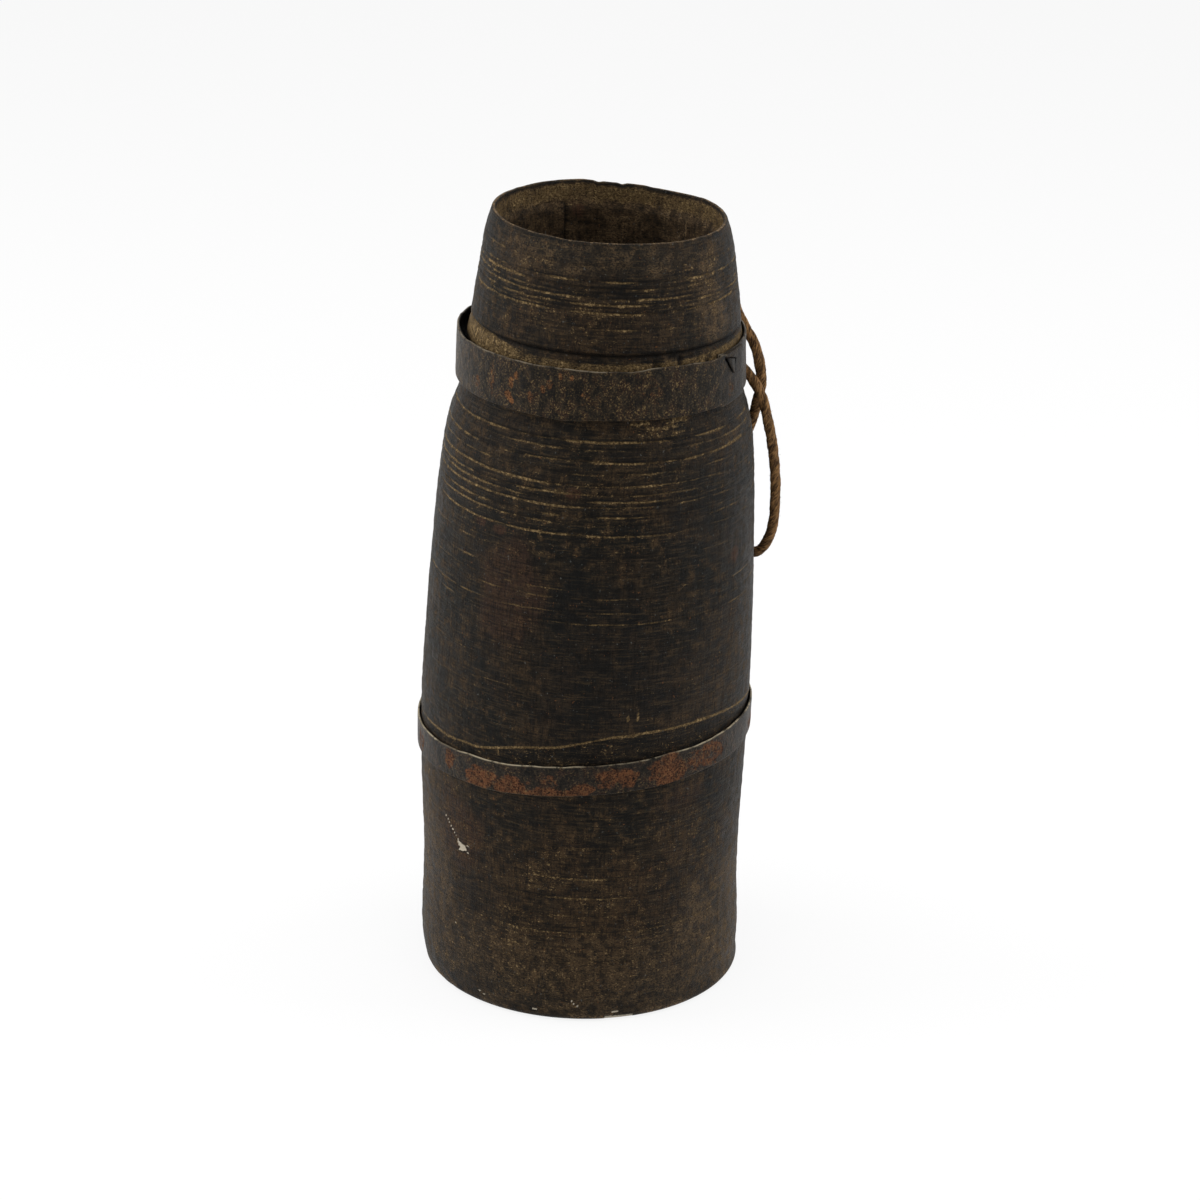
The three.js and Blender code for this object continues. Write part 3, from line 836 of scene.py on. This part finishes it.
def change_inside(pot):
    """The inside is paler and mottled under the mouth, partly wear and partly painted light, and darker
    below, partly its colour and partly painted shade; it has upright grain and a crack, whose dark line is
    painted shade.
    """
    z, middle, fine = pot.z, pot.middle, pot.fine
    # shade: painted shade that deepens below the mouth.
    shade = ramp((MOUTH_HEIGHT - z + 2.5 * middle + 1.2 * fine - 8.0) / 5.0)
    # pale: the band under the mouth, partly wear and partly painted light, also paler up the far wall at the
    # right.
    pale = (1.0 - shade) * unit(0.95 + 0.5 * middle + 0.3 * fine)
    at_right = unit(angle_hump(pot.angle, 42.0, 40.0) + 0.5 * angle_hump(pot.angle, 80.0, 30.0))
    streak = unit(0.55 + 0.9 * pot.upright + 0.3 * middle)
    pale = np.maximum(pale, 0.8 * streak * at_right * ramp((z - 335) / 40))
    pale = np.maximum(pale, 0.3 * unit(0.6 + 0.8 * middle + 0.4 * fine) * ramp((z - 300) / 40))
    crack = np.exp(-(turn_from(pot.angle, CRACK_ANGLE) / 0.7) ** 2)
    crack = crack * ramp((388.0 - z) / 4.0) * ramp((z - 350.0) / 6.0)
    # The pale band goes into the worn and dust masks, partly painted light; the dark mask holds painted shade
    # deeper inside and in the crack.
    inside = {
        "worn": pale,
        "dark": np.maximum(0.5 * ramp((355.0 - z) / 70.0), 0.9 * crack),
        "warm": 1.0 + 0.3 * middle,
        "red": 0.9 * patchy(pot.angle, z, 107.0, 383.0, 4.0, 5.0, fine),
        "dust": 0.7 * (1.0 - shade) * unit(0.8 + 0.5 * middle),
        "gritty": 0.1,
    }
    for key in MASKS:
        pot.masks[key] = np.where(pot.inner, inside.get(key, 0.0), pot.masks[key] * pot.outer)
    relief = 0.12 * pot.upright + 0.16 * pot.broad + 0.08 * fine - 0.6 * crack
    pot.relief = np.where(pot.inner, relief, pot.relief * pot.outer)


def worn_heights(pot):
    """Heights of the points, with the mouth's edge worn down, notched and a little wavy."""
    low = sum(depth * angle_hump(pot.angle, middle, half_width) for middle, half_width, depth in MOUTH_WEAR)
    low = low + (0.3 * pot.along_ring(26) + 0.12 * pot.along_ring(90))
    return pot.z - ramp((pot.z - MOUTH_WEAR_FOOT) / MOUTH_WEAR_ZONE) * low


def build_pot(material):
    """The turned pot, outside and inside, as one closed surface."""
    pot = Surface()
    cut_lines(pot)
    calm_relief(pot)
    below_mark = mark_old_hoop(pot)
    dirty_shoulder(pot)
    lay_patches(pot)
    wear_outside(pot, below_mark)
    change_inside(pot)
    angle = np.radians(pot.angle)
    points = pot_place(pot.radius + np.where(pot.inner, -pot.relief, pot.relief), angle, worn_heights(pot))
    points = clear_channel(points, pot.outer)
    middles = [pot_place(np.array(0.0), np.array(0.0), np.array(height)) for height in (0.0, FLOOR_HEIGHT)]
    turned = np.stack([pot.radius * np.cos(angle), pot.radius * np.sin(angle), pot.z], axis=-1)
    attributes = {key: np.append(unit(mask).ravel(), (0.0, 0.0)) for key, mask in pot.masks.items()}
    attributes["turned"] = np.vstack([turned.reshape(-1, 3), [[0, 0, 0], [0, 0, FLOOR_HEIGHT]]])
    faces = grid_faces(*angle.shape) + cap_faces(*angle.shape)
    return make_mesh("turned_pot", np.vstack([points.reshape(-1, 3), middles]), faces, material, attributes)


def clear_channel(points, outer):
    """Sinks the wood where the rope runs up behind the strap."""
    gap = points - np.array([HOOP_CENTRE, 0.0, 0.0])
    along, reach, z = gap @ FORWARD, gap @ OUTWARD, points[..., 2]
    low_bend, high_bend = UNDER_BOTTOM + BEND_RADIUS, OVER_TOP - BEND_RADIUS
    beyond = np.maximum(np.maximum(low_bend - z, z - high_bend), 0.0)
    size = BEND_RADIUS + CHANNEL_RADIUS
    inside = (np.abs(along) < CHANNEL_RADIUS) & (beyond < size) & (reach > 0) & outer
    floor = INSIDE_REACH + BEND_RADIUS - np.sqrt(np.maximum(size ** 2 - beyond ** 2, 0.0))
    floor = floor + CHANNEL_RADIUS - np.sqrt(np.maximum(CHANNEL_RADIUS ** 2 - along ** 2, 0.0))
    sink = np.where(inside, np.maximum(reach - floor, 0.0), 0.0)
    return points - sink[..., None] * OUTWARD


# The hoops

STRAP_STEP = 0.5
SECTION_STEP = 0.6
STRAP_NOISE_TURN = 0.9


def lap_rise(turn):
    """How far the strap's outer end climbs over its inner end."""
    return LAP_RISE * ramp((turn - 360.0 + LAP_RAMP_ANGLE) / LAP_RAMP_ANGLE)


def upper_place(angle, up, depth):
    """A point of the upper strap, from its angle, its share of the width and its depth."""
    z = UPPER_FOOT + up * UPPER_WIDTH
    radius = UPPER_BORE - up * UPPER_TAPER + depth
    x = radius * np.cos(angle)
    return np.stack([HOOP_CENTRE + x, radius * np.sin(angle), z + UPPER_TILT * x], axis=-1)


def lower_place(angle, up, depth):
    """A point of the lower strap, which follows the wall under it."""
    z = LOWER_MIDDLE + (up - 0.5) * LOWER_WIDTH + LOWER_TILT * LOWER_TILT_RADIUS * np.cos(angle)
    radius = np.interp(z, WALL_LINE[:, 1], WALL_LINE[:, 0]) + LOWER_CLEARANCE + depth
    return np.stack([axis_offset(z) + radius * np.cos(angle), radius * np.sin(angle), z], axis=-1)


def strap_section(width):
    """A closed section with rounded edges, as (distance up the strap, depth, share of outer face)."""
    t = STRAP_THICKNESS
    rise = [(0.0, 0.5), (0.06, 0.76), (0.2, 0.93), (0.45, 1.0)]
    corner = rise[-1][0]
    steps = int((width - 2 * corner) / SECTION_STEP)
    across = [corner + (width - 2 * corner) * k / steps for k in range(1, steps)]
    outer = [(s, d * t, 1.0) for s, d in rise] + [(s, t, 1.0) for s in across]
    outer += [(width - s, d * t, 1.0) for s, d in reversed(rise)]
    back = [(width - s, (1 - d) * t, 0.0) for s, d in rise[1:]]
    back += [(s, 0.0, 0.0) for s in reversed(across[::2])]
    back += [(s, (1 - d) * t, 0.0) for s, d in reversed(rise[1:])]
    return np.array(outer + back)


# Rust spots on each strap, as (angle, share of its width, half sizes of both, strength)

UPPER_RUST = [
    (-137, 0.45, 2.2, 0.35, 0.55), (-128.5, 0.28, 2, 0.11, 1), (-126.5, 0.18, 1.3, 0.08, 1),
    (-126.8, 0.55, 1.3, 0.13, 0.9), (-124.5, 0.7, 1.2, 0.1, 0.8), (-110, 0.66, 1.6, 0.12, 0.8),
    (-112.5, 0.54, 1.2, 0.1, 0.9), (-101, 0.84, 0.9, 0.07, 1), (-105.5, 0.85, 0.9, 0.07, 0.9),
    (-118, 0.35, 1.8, 0.14, 0.7), (-146, 0.3, 2.5, 0.2, 0.6), (-96, 0.45, 2, 0.2, 0.5),
    (-70, 0.5, 5, 0.3, 0.42), (-30, 0.3, 3, 0.2, 0.6), (-17, 0.5, 3, 0.3, 0.6),
    (20, 0.5, 8, 0.4, 0.5), (70, 0.4, 6, 0.3, 0.55), (115, 0.6, 9, 0.4, 0.45),
    (160, 0.3, 6, 0.3, 0.55),
]
LOWER_RUST = [
    (-141.5, 0.62, 2.8, 0.38, 1), (-127, 0.3, 8, 0.45, 1), (-115, 0.2, 8, 0.42, 1),
    (-102, 0.05, 12, 0.28, 0.95), (-101, 0.45, 4, 0.3, 0.7), (-90, 0.2, 4, 0.25, 1),
    (-81, 0.55, 5, 0.4, 0.9), (-75, 0.5, 4, 0.4, 1), (-60, 0.45, 8, 0.6, 1),
    (-43, 0.5, 12, 0.5, 0.75), (-165, 0.4, 5, 0.4, 0.7), (-8, 0.3, 5, 0.4, 0.8),
    (25, 0.5, 14, 0.5, 0.8), (65, 0.3, 8, 0.4, 0.9), (100, 0.6, 12, 0.5, 0.8),
    (140, 0.4, 9, 0.4, 0.9), (172, 0.6, 6, 0.4, 0.8),
]
RUST_EVERYWHERE = 0.12


def rust_spots(angle, up, spots, ragged):
    """How rusty a strap is: its listed spots, on a little rust everywhere."""
    rust = np.full_like(angle, RUST_EVERYWHERE)
    for spot_angle, spot_up, half_angle, half_up, strength in spots:
        away = (turn_from(angle, spot_angle) / half_angle) ** 2 + ((up - spot_up) / half_up) ** 2
        rust = np.maximum(rust, strength * ramp(1.35 - away + 0.35 * ragged))
    return rust


def build_strap(name, place, material, rust, seed, start, lap, width, waves, dents, marks=None):
    """A strap bent round the pot, its outer end lapped over its inner end."""
    rng = np.random.default_rng(seed)
    section = strap_section(width)
    turn_end = 360.0 + lap
    turn = np.linspace(0.0, turn_end, int(turn_end / STRAP_STEP) + 1)[:, None]
    angle = np.radians(start + turn) + np.zeros((1, len(section)))
    up_mm = section[None, :, 0] + np.zeros_like(turn)
    turns = ((turn / 360.0) % 1.0 + np.zeros_like(angle)) * STRAP_NOISE_TURN
    face = section[None, :, 2]

    def rough(cells, height):
        return round_noise(rng, turns, up_mm, cells, height)

    def along_strap(cells):
        return round_noise(rng, turns, up_mm * 0, cells, 1.0)

    hammer = dents * (0.6 * rough(46, 9.0) + 0.4 * rough(130, 3.5))
    rounding = np.minimum(up_mm, width - up_mm) / 2.0
    depth = section[None, :, 1] + lap_rise(turn) + hammer * face * ramp(rounding)
    # Painted shade on the back of the strap, which faces the wood.
    dark = 0.9 * (1.0 - face) + np.zeros_like(angle)
    if marks is not None:
        marked, sunk = marks(np.degrees(angle), up_mm)
        dark = np.maximum(dark, marked * face)
        depth = depth - sunk * face
    bottom = waves * along_strap(26)
    top = waves * along_strap(34) + 0.4 * waves * along_strap(110)
    up = (up_mm + bottom * (1 - up_mm / width) + top * up_mm / width) / width
    points = place(angle, up, depth)
    ends = [points[0].mean(axis=0), points[-1].mean(axis=0)]

    worn = np.clip(0.6 + 0.8 * along_strap(60), 0.15, 1.0)
    # The top edge is paler than the bottom: partly wear, partly a painted highlight where the top catches
    # light.
    edge = (ramp(1.0 - (width - up_mm) / 0.55) + 0.4 * ramp(1.0 - up_mm / 0.45)) * face * worn
    edge = np.maximum(edge, 0.3 * ramp(1.0 - (turn_end - turn) * 1.5) * face)
    rusty = rust_spots(np.degrees(angle), up_mm / width, rust, rough(150, 2.2)) * face
    masks = {"edge": edge, "dark": dark, "rust": rusty}
    attributes = {key: np.append(mask.ravel(), (0.0, 0.0)) for key, mask in masks.items()}
    turned = np.stack([UPPER_BORE * np.cos(angle), UPPER_BORE * np.sin(angle), points[..., 2]], axis=-1)
    attributes["turned"] = np.vstack([turned.reshape(-1, 3), ends])
    faces = grid_faces(*angle.shape) + cap_faces(*angle.shape)
    return make_mesh(name, np.vstack([points.reshape(-1, 3), ends]), faces, material, attributes)


# The barb

BARB_STEPS = 10
BARB_REST = 0.05
BARB_CURL = 1.6
BARB_TIP_SHARE = 0.97
BARB_THICKNESS = 0.7
BARB_DARKNESS = 0.45
BARB_RUST = 0.2
LAP_GRIME = 0.65


def barb_outline():
    """The barb's corners and tip, as (millimetres across from its middle, millimetres up the strap)."""
    root = UPPER_WIDTH - BARB_DROP
    return [
        (-BARB_WIDTH / 2, root + BARB_SLANT / 2), (BARB_TIP_SHIFT, root - BARB_LENGTH),
        (BARB_WIDTH / 2, root - BARB_SLANT / 2),
    ]


def barb_marks(angle, up_mm):
    """Darkness and sunken depth round the barb: a V cut from one side to its tip and up the other; its
    darkness is painted shade in the cut and under the tongue, over grime near the lap.
    """
    across = turn_from(angle, BARB_ANGLE) * math.pi / 180.0 * UPPER_BORE
    corners = barb_outline()
    mask = LAP_GRIME * angle_hump(angle, LAP_GRIME_ANGLE, LAP_GRIME_SPREAD)
    for start, end in zip(corners, corners[1:]):
        mask = np.maximum(mask, ramp(1.5 - away_from_line(across, up_mm, start, end) / BARB_SLIT))
    inside = np.ones_like(mask)
    for (x0, z0), (x1, z1) in zip(corners, corners[1:] + corners[:1]):
        inside = inside * ((x1 - x0) * (up_mm - z0) > (z1 - z0) * (across - x0))
    # The pit under the tongue is painted fully dark as shade.
    return np.maximum(mask, inside), BARB_PIT * inside


def build_barb(material):
    """A small tongue punched out of the lap, its tip standing proud."""
    left, tip, right = (np.array(corner) for corner in barb_outline())
    gap_left, gap_right = BARB_GAPS
    points = []
    for k in range(BARB_STEPS + 1):
        share = k / BARB_STEPS
        lift = STRAP_THICKNESS + LAP_RISE + BARB_REST + BARB_LIFT * share ** BARB_CURL
        row = []
        for side in (0.0, 0.5, 1.0):
            offset = gap_left + side * (BARB_WIDTH - gap_left - gap_right)
            root = left + (right - left) * offset / BARB_WIDTH
            row.append(root + (tip - root) * share * BARB_TIP_SHARE)
        drops = (BARB_THICKNESS, 0.0, 0.0, 0.0, BARB_THICKNESS)
        for (across, up), drop in zip((row[0], *row, row[2]), drops):
            angle = math.radians(BARB_ANGLE) + across / UPPER_BORE
            points.append(upper_place(np.array(angle), np.array(up / UPPER_WIDTH), np.array(lift - drop)))
    points = np.array(points)
    faces = grid_faces(BARB_STEPS + 1, 5)
    faces.append(tuple(range(4, -1, -1)))
    faces.append(tuple(BARB_STEPS * 5 + k for k in range(5)))
    values = {"edge": 0.0, "dark": BARB_DARKNESS, "rust": BARB_RUST}
    attributes = {key: np.full(len(points), value) for key, value in values.items()}
    return make_mesh("barb", points, faces, material, {**attributes, "turned": points})


# The rope

STRANDS = 2
LAY_LENGTH = 23.0
LAY_DEPTH = 0.07
ROPE_SIDES = 36
RING_STEP = 0.5
HAIRS = 500
HAIR_REACH = 1.0
HAIR_STEPS = 4
HAIR_WIDTH = 0.06
HAIR_TIP_WIDTH = 0.015
KNOT_ROPE_DIAMETER = 5.0
KNOT_SPREAD = 2.5
KNOT_SWING = 1.5
KNOT_HALF_HEIGHT = 5.0
KNOT_RINGS = 180
BEND_STEPS = 6


def ring_frames(path):
    """Tangents and two sideways directions, carried along the path without twist."""
    tangent = np.gradient(path, axis=0)
    tangent /= np.linalg.norm(tangent, axis=1)[:, None]
    side = np.cross(tangent[0], (0.3, 0.2, 0.9))
    side /= np.linalg.norm(side)
    sides = []
    for t in tangent:
        side = side - t * (side @ t)
        side /= np.linalg.norm(side)
        sides.append(side)
    sides = np.array(sides)
    return tangent, sides, np.cross(tangent, sides)


def rope_rings(path, diameter, rng, closed):
    """Points, painted groove shade and texture place of a soft rope laid from two yarns, with rounded ends.
    """
    radius = diameter / 2
    _, side, lift = ring_frames(path)
    along = lengths_along(path)[:, None]
    around = (2 * math.pi * np.arange(ROPE_SIDES) / ROPE_SIDES)[None, :]
    laid = around - 2 * math.pi * along / LAY_LENGTH
    profile = 1.0 - LAY_DEPTH * (0.5 - 0.5 * np.cos(STRANDS * laid)) ** 2
    # Painted shade in the grooves between the two yarns.
    crease_shade = ramp((1.0 - profile) / LAY_DEPTH) ** 2 * 0.45
    turns = (laid / (2 * math.pi)) % 1.0
    flat = along + around * 0
    if not closed:
        from_end = unit(np.minimum(along, along[-1] - along) / radius)
        profile = profile * np.sqrt(1.0 - (1.0 - from_end) ** 2)
    yarn = 0.11 * round_noise(rng, turns, flat, 16, 3.0) + 0.09 * round_noise(rng, turns, flat, 9, 6.0)
    frayed = 0.10 * round_noise(rng, turns, flat, 18, 0.9)
    swell = 1.0 + 0.05 * round_noise(rng, flat * 0 + 0.2, flat, 3, 14.0)
    size = radius * profile * (1.0 + (yarn + frayed) / radius) * swell
    ring = side[:, None, :] * (np.cos(around) * size)[..., None]
    ring = ring + lift[:, None, :] * (np.sin(around) * size)[..., None]
    place = np.stack([radius * np.cos(laid), radius * np.sin(laid), flat], axis=-1)
    return path[:, None, :] + ring, crease_shade, place


def stray_fibres(path, rng, count):
    """Thin tapered hairs that leave the rope, as points and faces."""
    tangent, side, lift = ring_frames(path)
    points, faces = [], []
    for _ in range(count):
        i = int(rng.integers(4, len(path) - 4))
        a = rng.uniform(0.0, 2 * math.pi)
        out = side[i] * math.cos(a) + lift[i] * math.sin(a)
        across = np.cross(out, tangent[i])
        lean = tangent[i] * rng.uniform(-1.0, 1.0)
        length = HAIR_REACH * (0.25 + 0.75 * rng.uniform(0.0, 1.0) ** 3)
        bow = across * rng.uniform(-0.8, 0.8)
        base = len(points)
        for k in range(HAIR_STEPS + 1):
            share = k / HAIR_STEPS
            middle = path[i] + out * (ROPE_DIAMETER / 2 - 0.5) + out * (0.5 + length) * share
            middle = middle + lean * length * 1.2 * share + bow * length * share ** 2
            width = HAIR_WIDTH * (1.0 - share) + HAIR_TIP_WIDTH
            for corner in range(3):
                turn = 2 * math.pi * corner / 3
                points.append(middle + (tangent[i] * math.cos(turn) + across * math.sin(turn)) * width)
        faces += [tuple(base + v for v in face) for face in grid_faces(HAIR_STEPS + 1, 3)]
        tip = base + 3 * HAIR_STEPS
        faces += [(base + 2, base + 1, base), (tip, tip + 1, tip + 2)]
    return np.array(points), faces


def build_rope(name, path, diameter, material, seed, hairs=0, closed=False):
    """A laid rope along a path in millimetres; an open one has rounded ends."""
    rng = np.random.default_rng(seed)
    points, crease_shade, place = rope_rings(path, diameter, rng, closed)
    rings, sides = points.shape[:2]
    flat = points.reshape(-1, 3)
    crease_shade = crease_shade.ravel()
    place = place.reshape(-1, 3)
    faces = grid_faces(rings, sides, closed_rows=closed)
    if not closed:
        flat = np.vstack([flat, path[0], path[-1]])
        # The middles of the rounded ends get full painted shade.
        crease_shade = np.append(crease_shade, (1.0, 1.0))
        place = np.vstack([place, place[0], place[-1]])
        faces += cap_faces(rings, sides)
    if hairs:
        more, more_faces = stray_fibres(path, rng, hairs)
        start = len(flat)
        flat = np.vstack([flat, more])
        faces += [tuple(start + v for v in face) for face in more_faces]
        crease_shade = np.append(crease_shade, np.zeros(len(more)))
        place = np.vstack([place, more])
    return make_mesh(name, flat, faces, material, {"crease_shade": crease_shade, "turned": place})


def loop_path():
    """The free loop's route, from inside the knot round to the strap's lower edge."""
    free = [
        (70.5, 47, 341.5), (72, 39, 338), (74.5, 31, 334.5), (78, 25, 329.5), (82, 22.5, 322.5),
        (85, 22, 311), (85.5, 23, 302), (84.5, 24.5, 295), (83, 28, 286), (80.5, 35, 274.5),
        (77, 43, 263), (73, 50, 250), (71, 53.5, 235.5), (72, 52, 221.5), (76.5, 46.5, 211.5),
        (81.5, 39.5, 208), (87, 32.5, 210), (91.5, 26.5, 218), (94, 22.5, 229), (94.5, 20.5, 242),
        (94, 18, 256), (92, 14, 273), (89, 11, 288), (86.5, 12, 297.5), (83.5, 15, 303.5),
        (79, 21, 308.5), (74.5, 29.5, 310.5), (70.5, 40.5, 310.5), (69, 48.5, 309.5),
    ]
    leaving = KNOT_RADIUS + ROPE_CLEARANCE
    tied = (KNOT_RADIUS / 3, leaving, leaving + ROPE_DIAMETER)
    route = [hitch_point(HITCH_REACH, OVER_TOP, along) for along in tied]
    route += [np.array(p, float) for p in free]
    for along in (JOINT_GAP + ROPE_DIAMETER, JOINT_GAP, -ROPE_DIAMETER / 2):
        route.append(hitch_point(HITCH_REACH, UNDER_BOTTOM, along))
    return evenly(catmull_rom(route, 24), RING_STEP)


def hitch_path():
    """The stretch behind the strap: over its top edge, down the channel and out under it."""
    bend = INSIDE_REACH + BEND_RADIUS
    stations = [(HITCH_REACH - 2.0, OVER_TOP)]
    for first, middle in ((90.0, OVER_TOP - BEND_RADIUS), (180.0, UNDER_BOTTOM + BEND_RADIUS)):
        for k in range(BEND_STEPS + 1):
            a = math.radians(first + 90.0 * k / BEND_STEPS)
            stations.append((bend + BEND_RADIUS * math.cos(a), middle + BEND_RADIUS * math.sin(a)))
    stations.append((HITCH_REACH + ROPE_DIAMETER / 2, UNDER_BOTTOM))
    return evenly(catmull_rom([hitch_point(r, z) for r, z in stations], 8), RING_STEP)


def knot_path():
    """A tight overhand knot: a trefoil, longest upright."""
    t = np.linspace(0.0, 2 * math.pi, KNOT_RINGS, endpoint=False)
    spread = KNOT_SPREAD + KNOT_SWING * np.cos(3 * t)
    x, y = spread * np.cos(2 * t), spread * np.sin(2 * t)
    return np.stack([x, y, KNOT_HALF_HEIGHT * np.sin(3 * t)], axis=1) + KNOT_CENTRE


# Stage, light and camera, in metres

FLOOR_HALF = 9.0
WORLD_STRENGTH = 0.55
LIGHT_TARGET = (0.0, 0.0, 0.2)
CAMERA_PLACE = (0.00681, -1.78812, 0.9164)
CAMERA_DOWN = math.radians(21.983)
CAMERA_ROLL = math.radians(1.028)
CAMERA_LENS = 115.62
CAMERA_SENSOR = 36.0

# Softboxes, as (name, place, size, watts)

SOFTBOXES = [
    ("left_softbox", (-1.5, 0.1, 0.9), (1.2, 1.6), 20.0),
    ("right_softbox", (1.5, 0.2, 0.9), (1.2, 1.6), 16.0),
    ("top_softbox", (0.0, -0.2, 1.8), (1.4, 1.4), 14.0),
]


def build_floor():
    """A wide flat floor for the pot's shadow."""
    corners = [(x * FLOOR_HALF, y * FLOOR_HALF, 0) for x, y in ((-1, -1), (1, -1), (1, 1), (-1, 1))]
    mesh = bpy.data.meshes.new("floor")
    mesh.from_pydata(corners, [], [(0, 1, 2, 3)])
    mesh.materials.append(floor_material())
    floor = bpy.data.objects.new("floor", mesh)
    bpy.context.scene.collection.objects.link(floor)


def build_world():
    """Even white surroundings, brighter for the camera and through glass."""
    world = bpy.data.worlds.new("studio")
    world.use_nodes = True
    bpy.context.scene.world = world
    nodes, links = world.node_tree.nodes, world.node_tree.links
    background = nodes["Background"]
    background.inputs["Color"].default_value = (1.0, 1.0, 1.0, 1.0)
    path = nodes.new("ShaderNodeLightPath")
    seen = nodes.new("ShaderNodeMath")
    seen.operation = "MAXIMUM"
    links.new(path.outputs["Is Camera Ray"], seen.inputs[0])
    links.new(path.outputs["Is Transmission Ray"], seen.inputs[1])
    strength = nodes.new("ShaderNodeMapRange")
    strength.inputs["To Min"].default_value = WORLD_STRENGTH
    strength.inputs["To Max"].default_value = 1.0
    links.new(seen.outputs[0], strength.inputs["Value"])
    links.new(strength.outputs["Result"], background.inputs["Strength"])


def build_lights():
    """Softboxes round the pot, all turned to its middle."""
    for name, place, size, watts in SOFTBOXES:
        lamp = bpy.data.lights.new(name, "AREA")
        lamp.shape = "RECTANGLE"
        lamp.size, lamp.size_y = size
        lamp.energy = watts
        holder = bpy.data.objects.new(name, lamp)
        holder.location = place
        direction = Vector(LIGHT_TARGET) - Vector(place)
        holder.rotation_euler = direction.to_track_quat("-Z", "Y").to_euler()
        bpy.context.scene.collection.objects.link(holder)


def build_camera():
    """The camera as fitted to the photograph: its place, how far it looks down, and its small roll."""
    camera = bpy.data.cameras.new("photo_camera")
    camera.sensor_width = CAMERA_SENSOR
    camera.lens = CAMERA_LENS
    holder = bpy.data.objects.new("photo_camera", camera)
    turn = Matrix.Rotation(math.pi / 2 - CAMERA_DOWN, 4, "X") @ Matrix.Rotation(CAMERA_ROLL, 4, "Z")
    holder.matrix_world = Matrix.Translation(CAMERA_PLACE) @ turn
    bpy.context.scene.collection.objects.link(holder)
    bpy.context.scene.camera = holder


# Putting it together


def add_rope():
    """The knot and the stretch behind the strap ride with the pot; the free loop is left on its own, with its
    placement baked into its points.
    """
    rope = rope_material()
    knot = build_rope("knot", knot_path(), KNOT_ROPE_DIAMETER, rope, SEED + 1, closed=True)
    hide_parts("rope_knot")
    hitch = build_rope("hitch", hitch_path(), ROPE_DIAMETER, rope, SEED + 2)
    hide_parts("rope_hitch")
    for piece in (knot, hitch):
        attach(piece, "pot")
    route = loop_path()
    loop = build_rope("carrying_loop", route, ROPE_DIAMETER, rope, SEED + 3, hairs=HAIRS)
    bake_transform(loop)
    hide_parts("rope_loop")


def add_pot():
    pot = build_pot(wood_material())
    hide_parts("pot_body")
    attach(pot, "pot")


def add_upper_strap():
    """The wide dark strap under the shoulder, and the barb in its lap."""
    iron = iron_material(
        "dark_forged_strap", base=rgb(46, 38, 28), shade=rgb(19, 16, 13), rust=rgb(56, 38, 25),
        bright=rgb(122, 80, 48), edge_wear_and_highlight=rgb(110, 100, 84), glints=1.0,
    )
    strap = build_strap(
        "upper_strap", upper_place, iron, UPPER_RUST, SEED + 5, start=UPPER_LAP_START, lap=UPPER_LAP_ANGLE,
        width=UPPER_WIDTH, waves=0.55, dents=0.28, marks=barb_marks,
    )
    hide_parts("upper_hoop")
    barb = build_barb(iron)
    for piece in (strap, barb):
        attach(piece, "pot")


def add_lower_strap():
    """The narrow rusty strap round the belly."""
    # The lower strap's edge colour is brighter: its pale top line is partly wear, partly a painted highlight.
    iron = iron_material(
        "rusty_forged_strap", base=rgb(42, 36, 30), shade=rgb(22, 20, 17), rust=rgb(50, 33, 24),
        bright=rgb(104, 66, 42), edge_wear_and_highlight=rgb(162, 150, 126), glints=0.6,
    )
    strap = build_strap(
        "lower_strap", lower_place, iron, LOWER_RUST, SEED + 6, start=LOWER_LAP_START, lap=LOWER_LAP_ANGLE,
        width=LOWER_WIDTH, waves=0.45, dents=0.2,
    )
    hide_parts("lower_hoop")
    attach(strap, "pot")


build_camera()
add_rope()
add_pot()
add_upper_strap()
add_lower_strap()
build_floor()
build_world()
build_lights()
bpy.context.scene.view_settings.view_transform = "Standard"
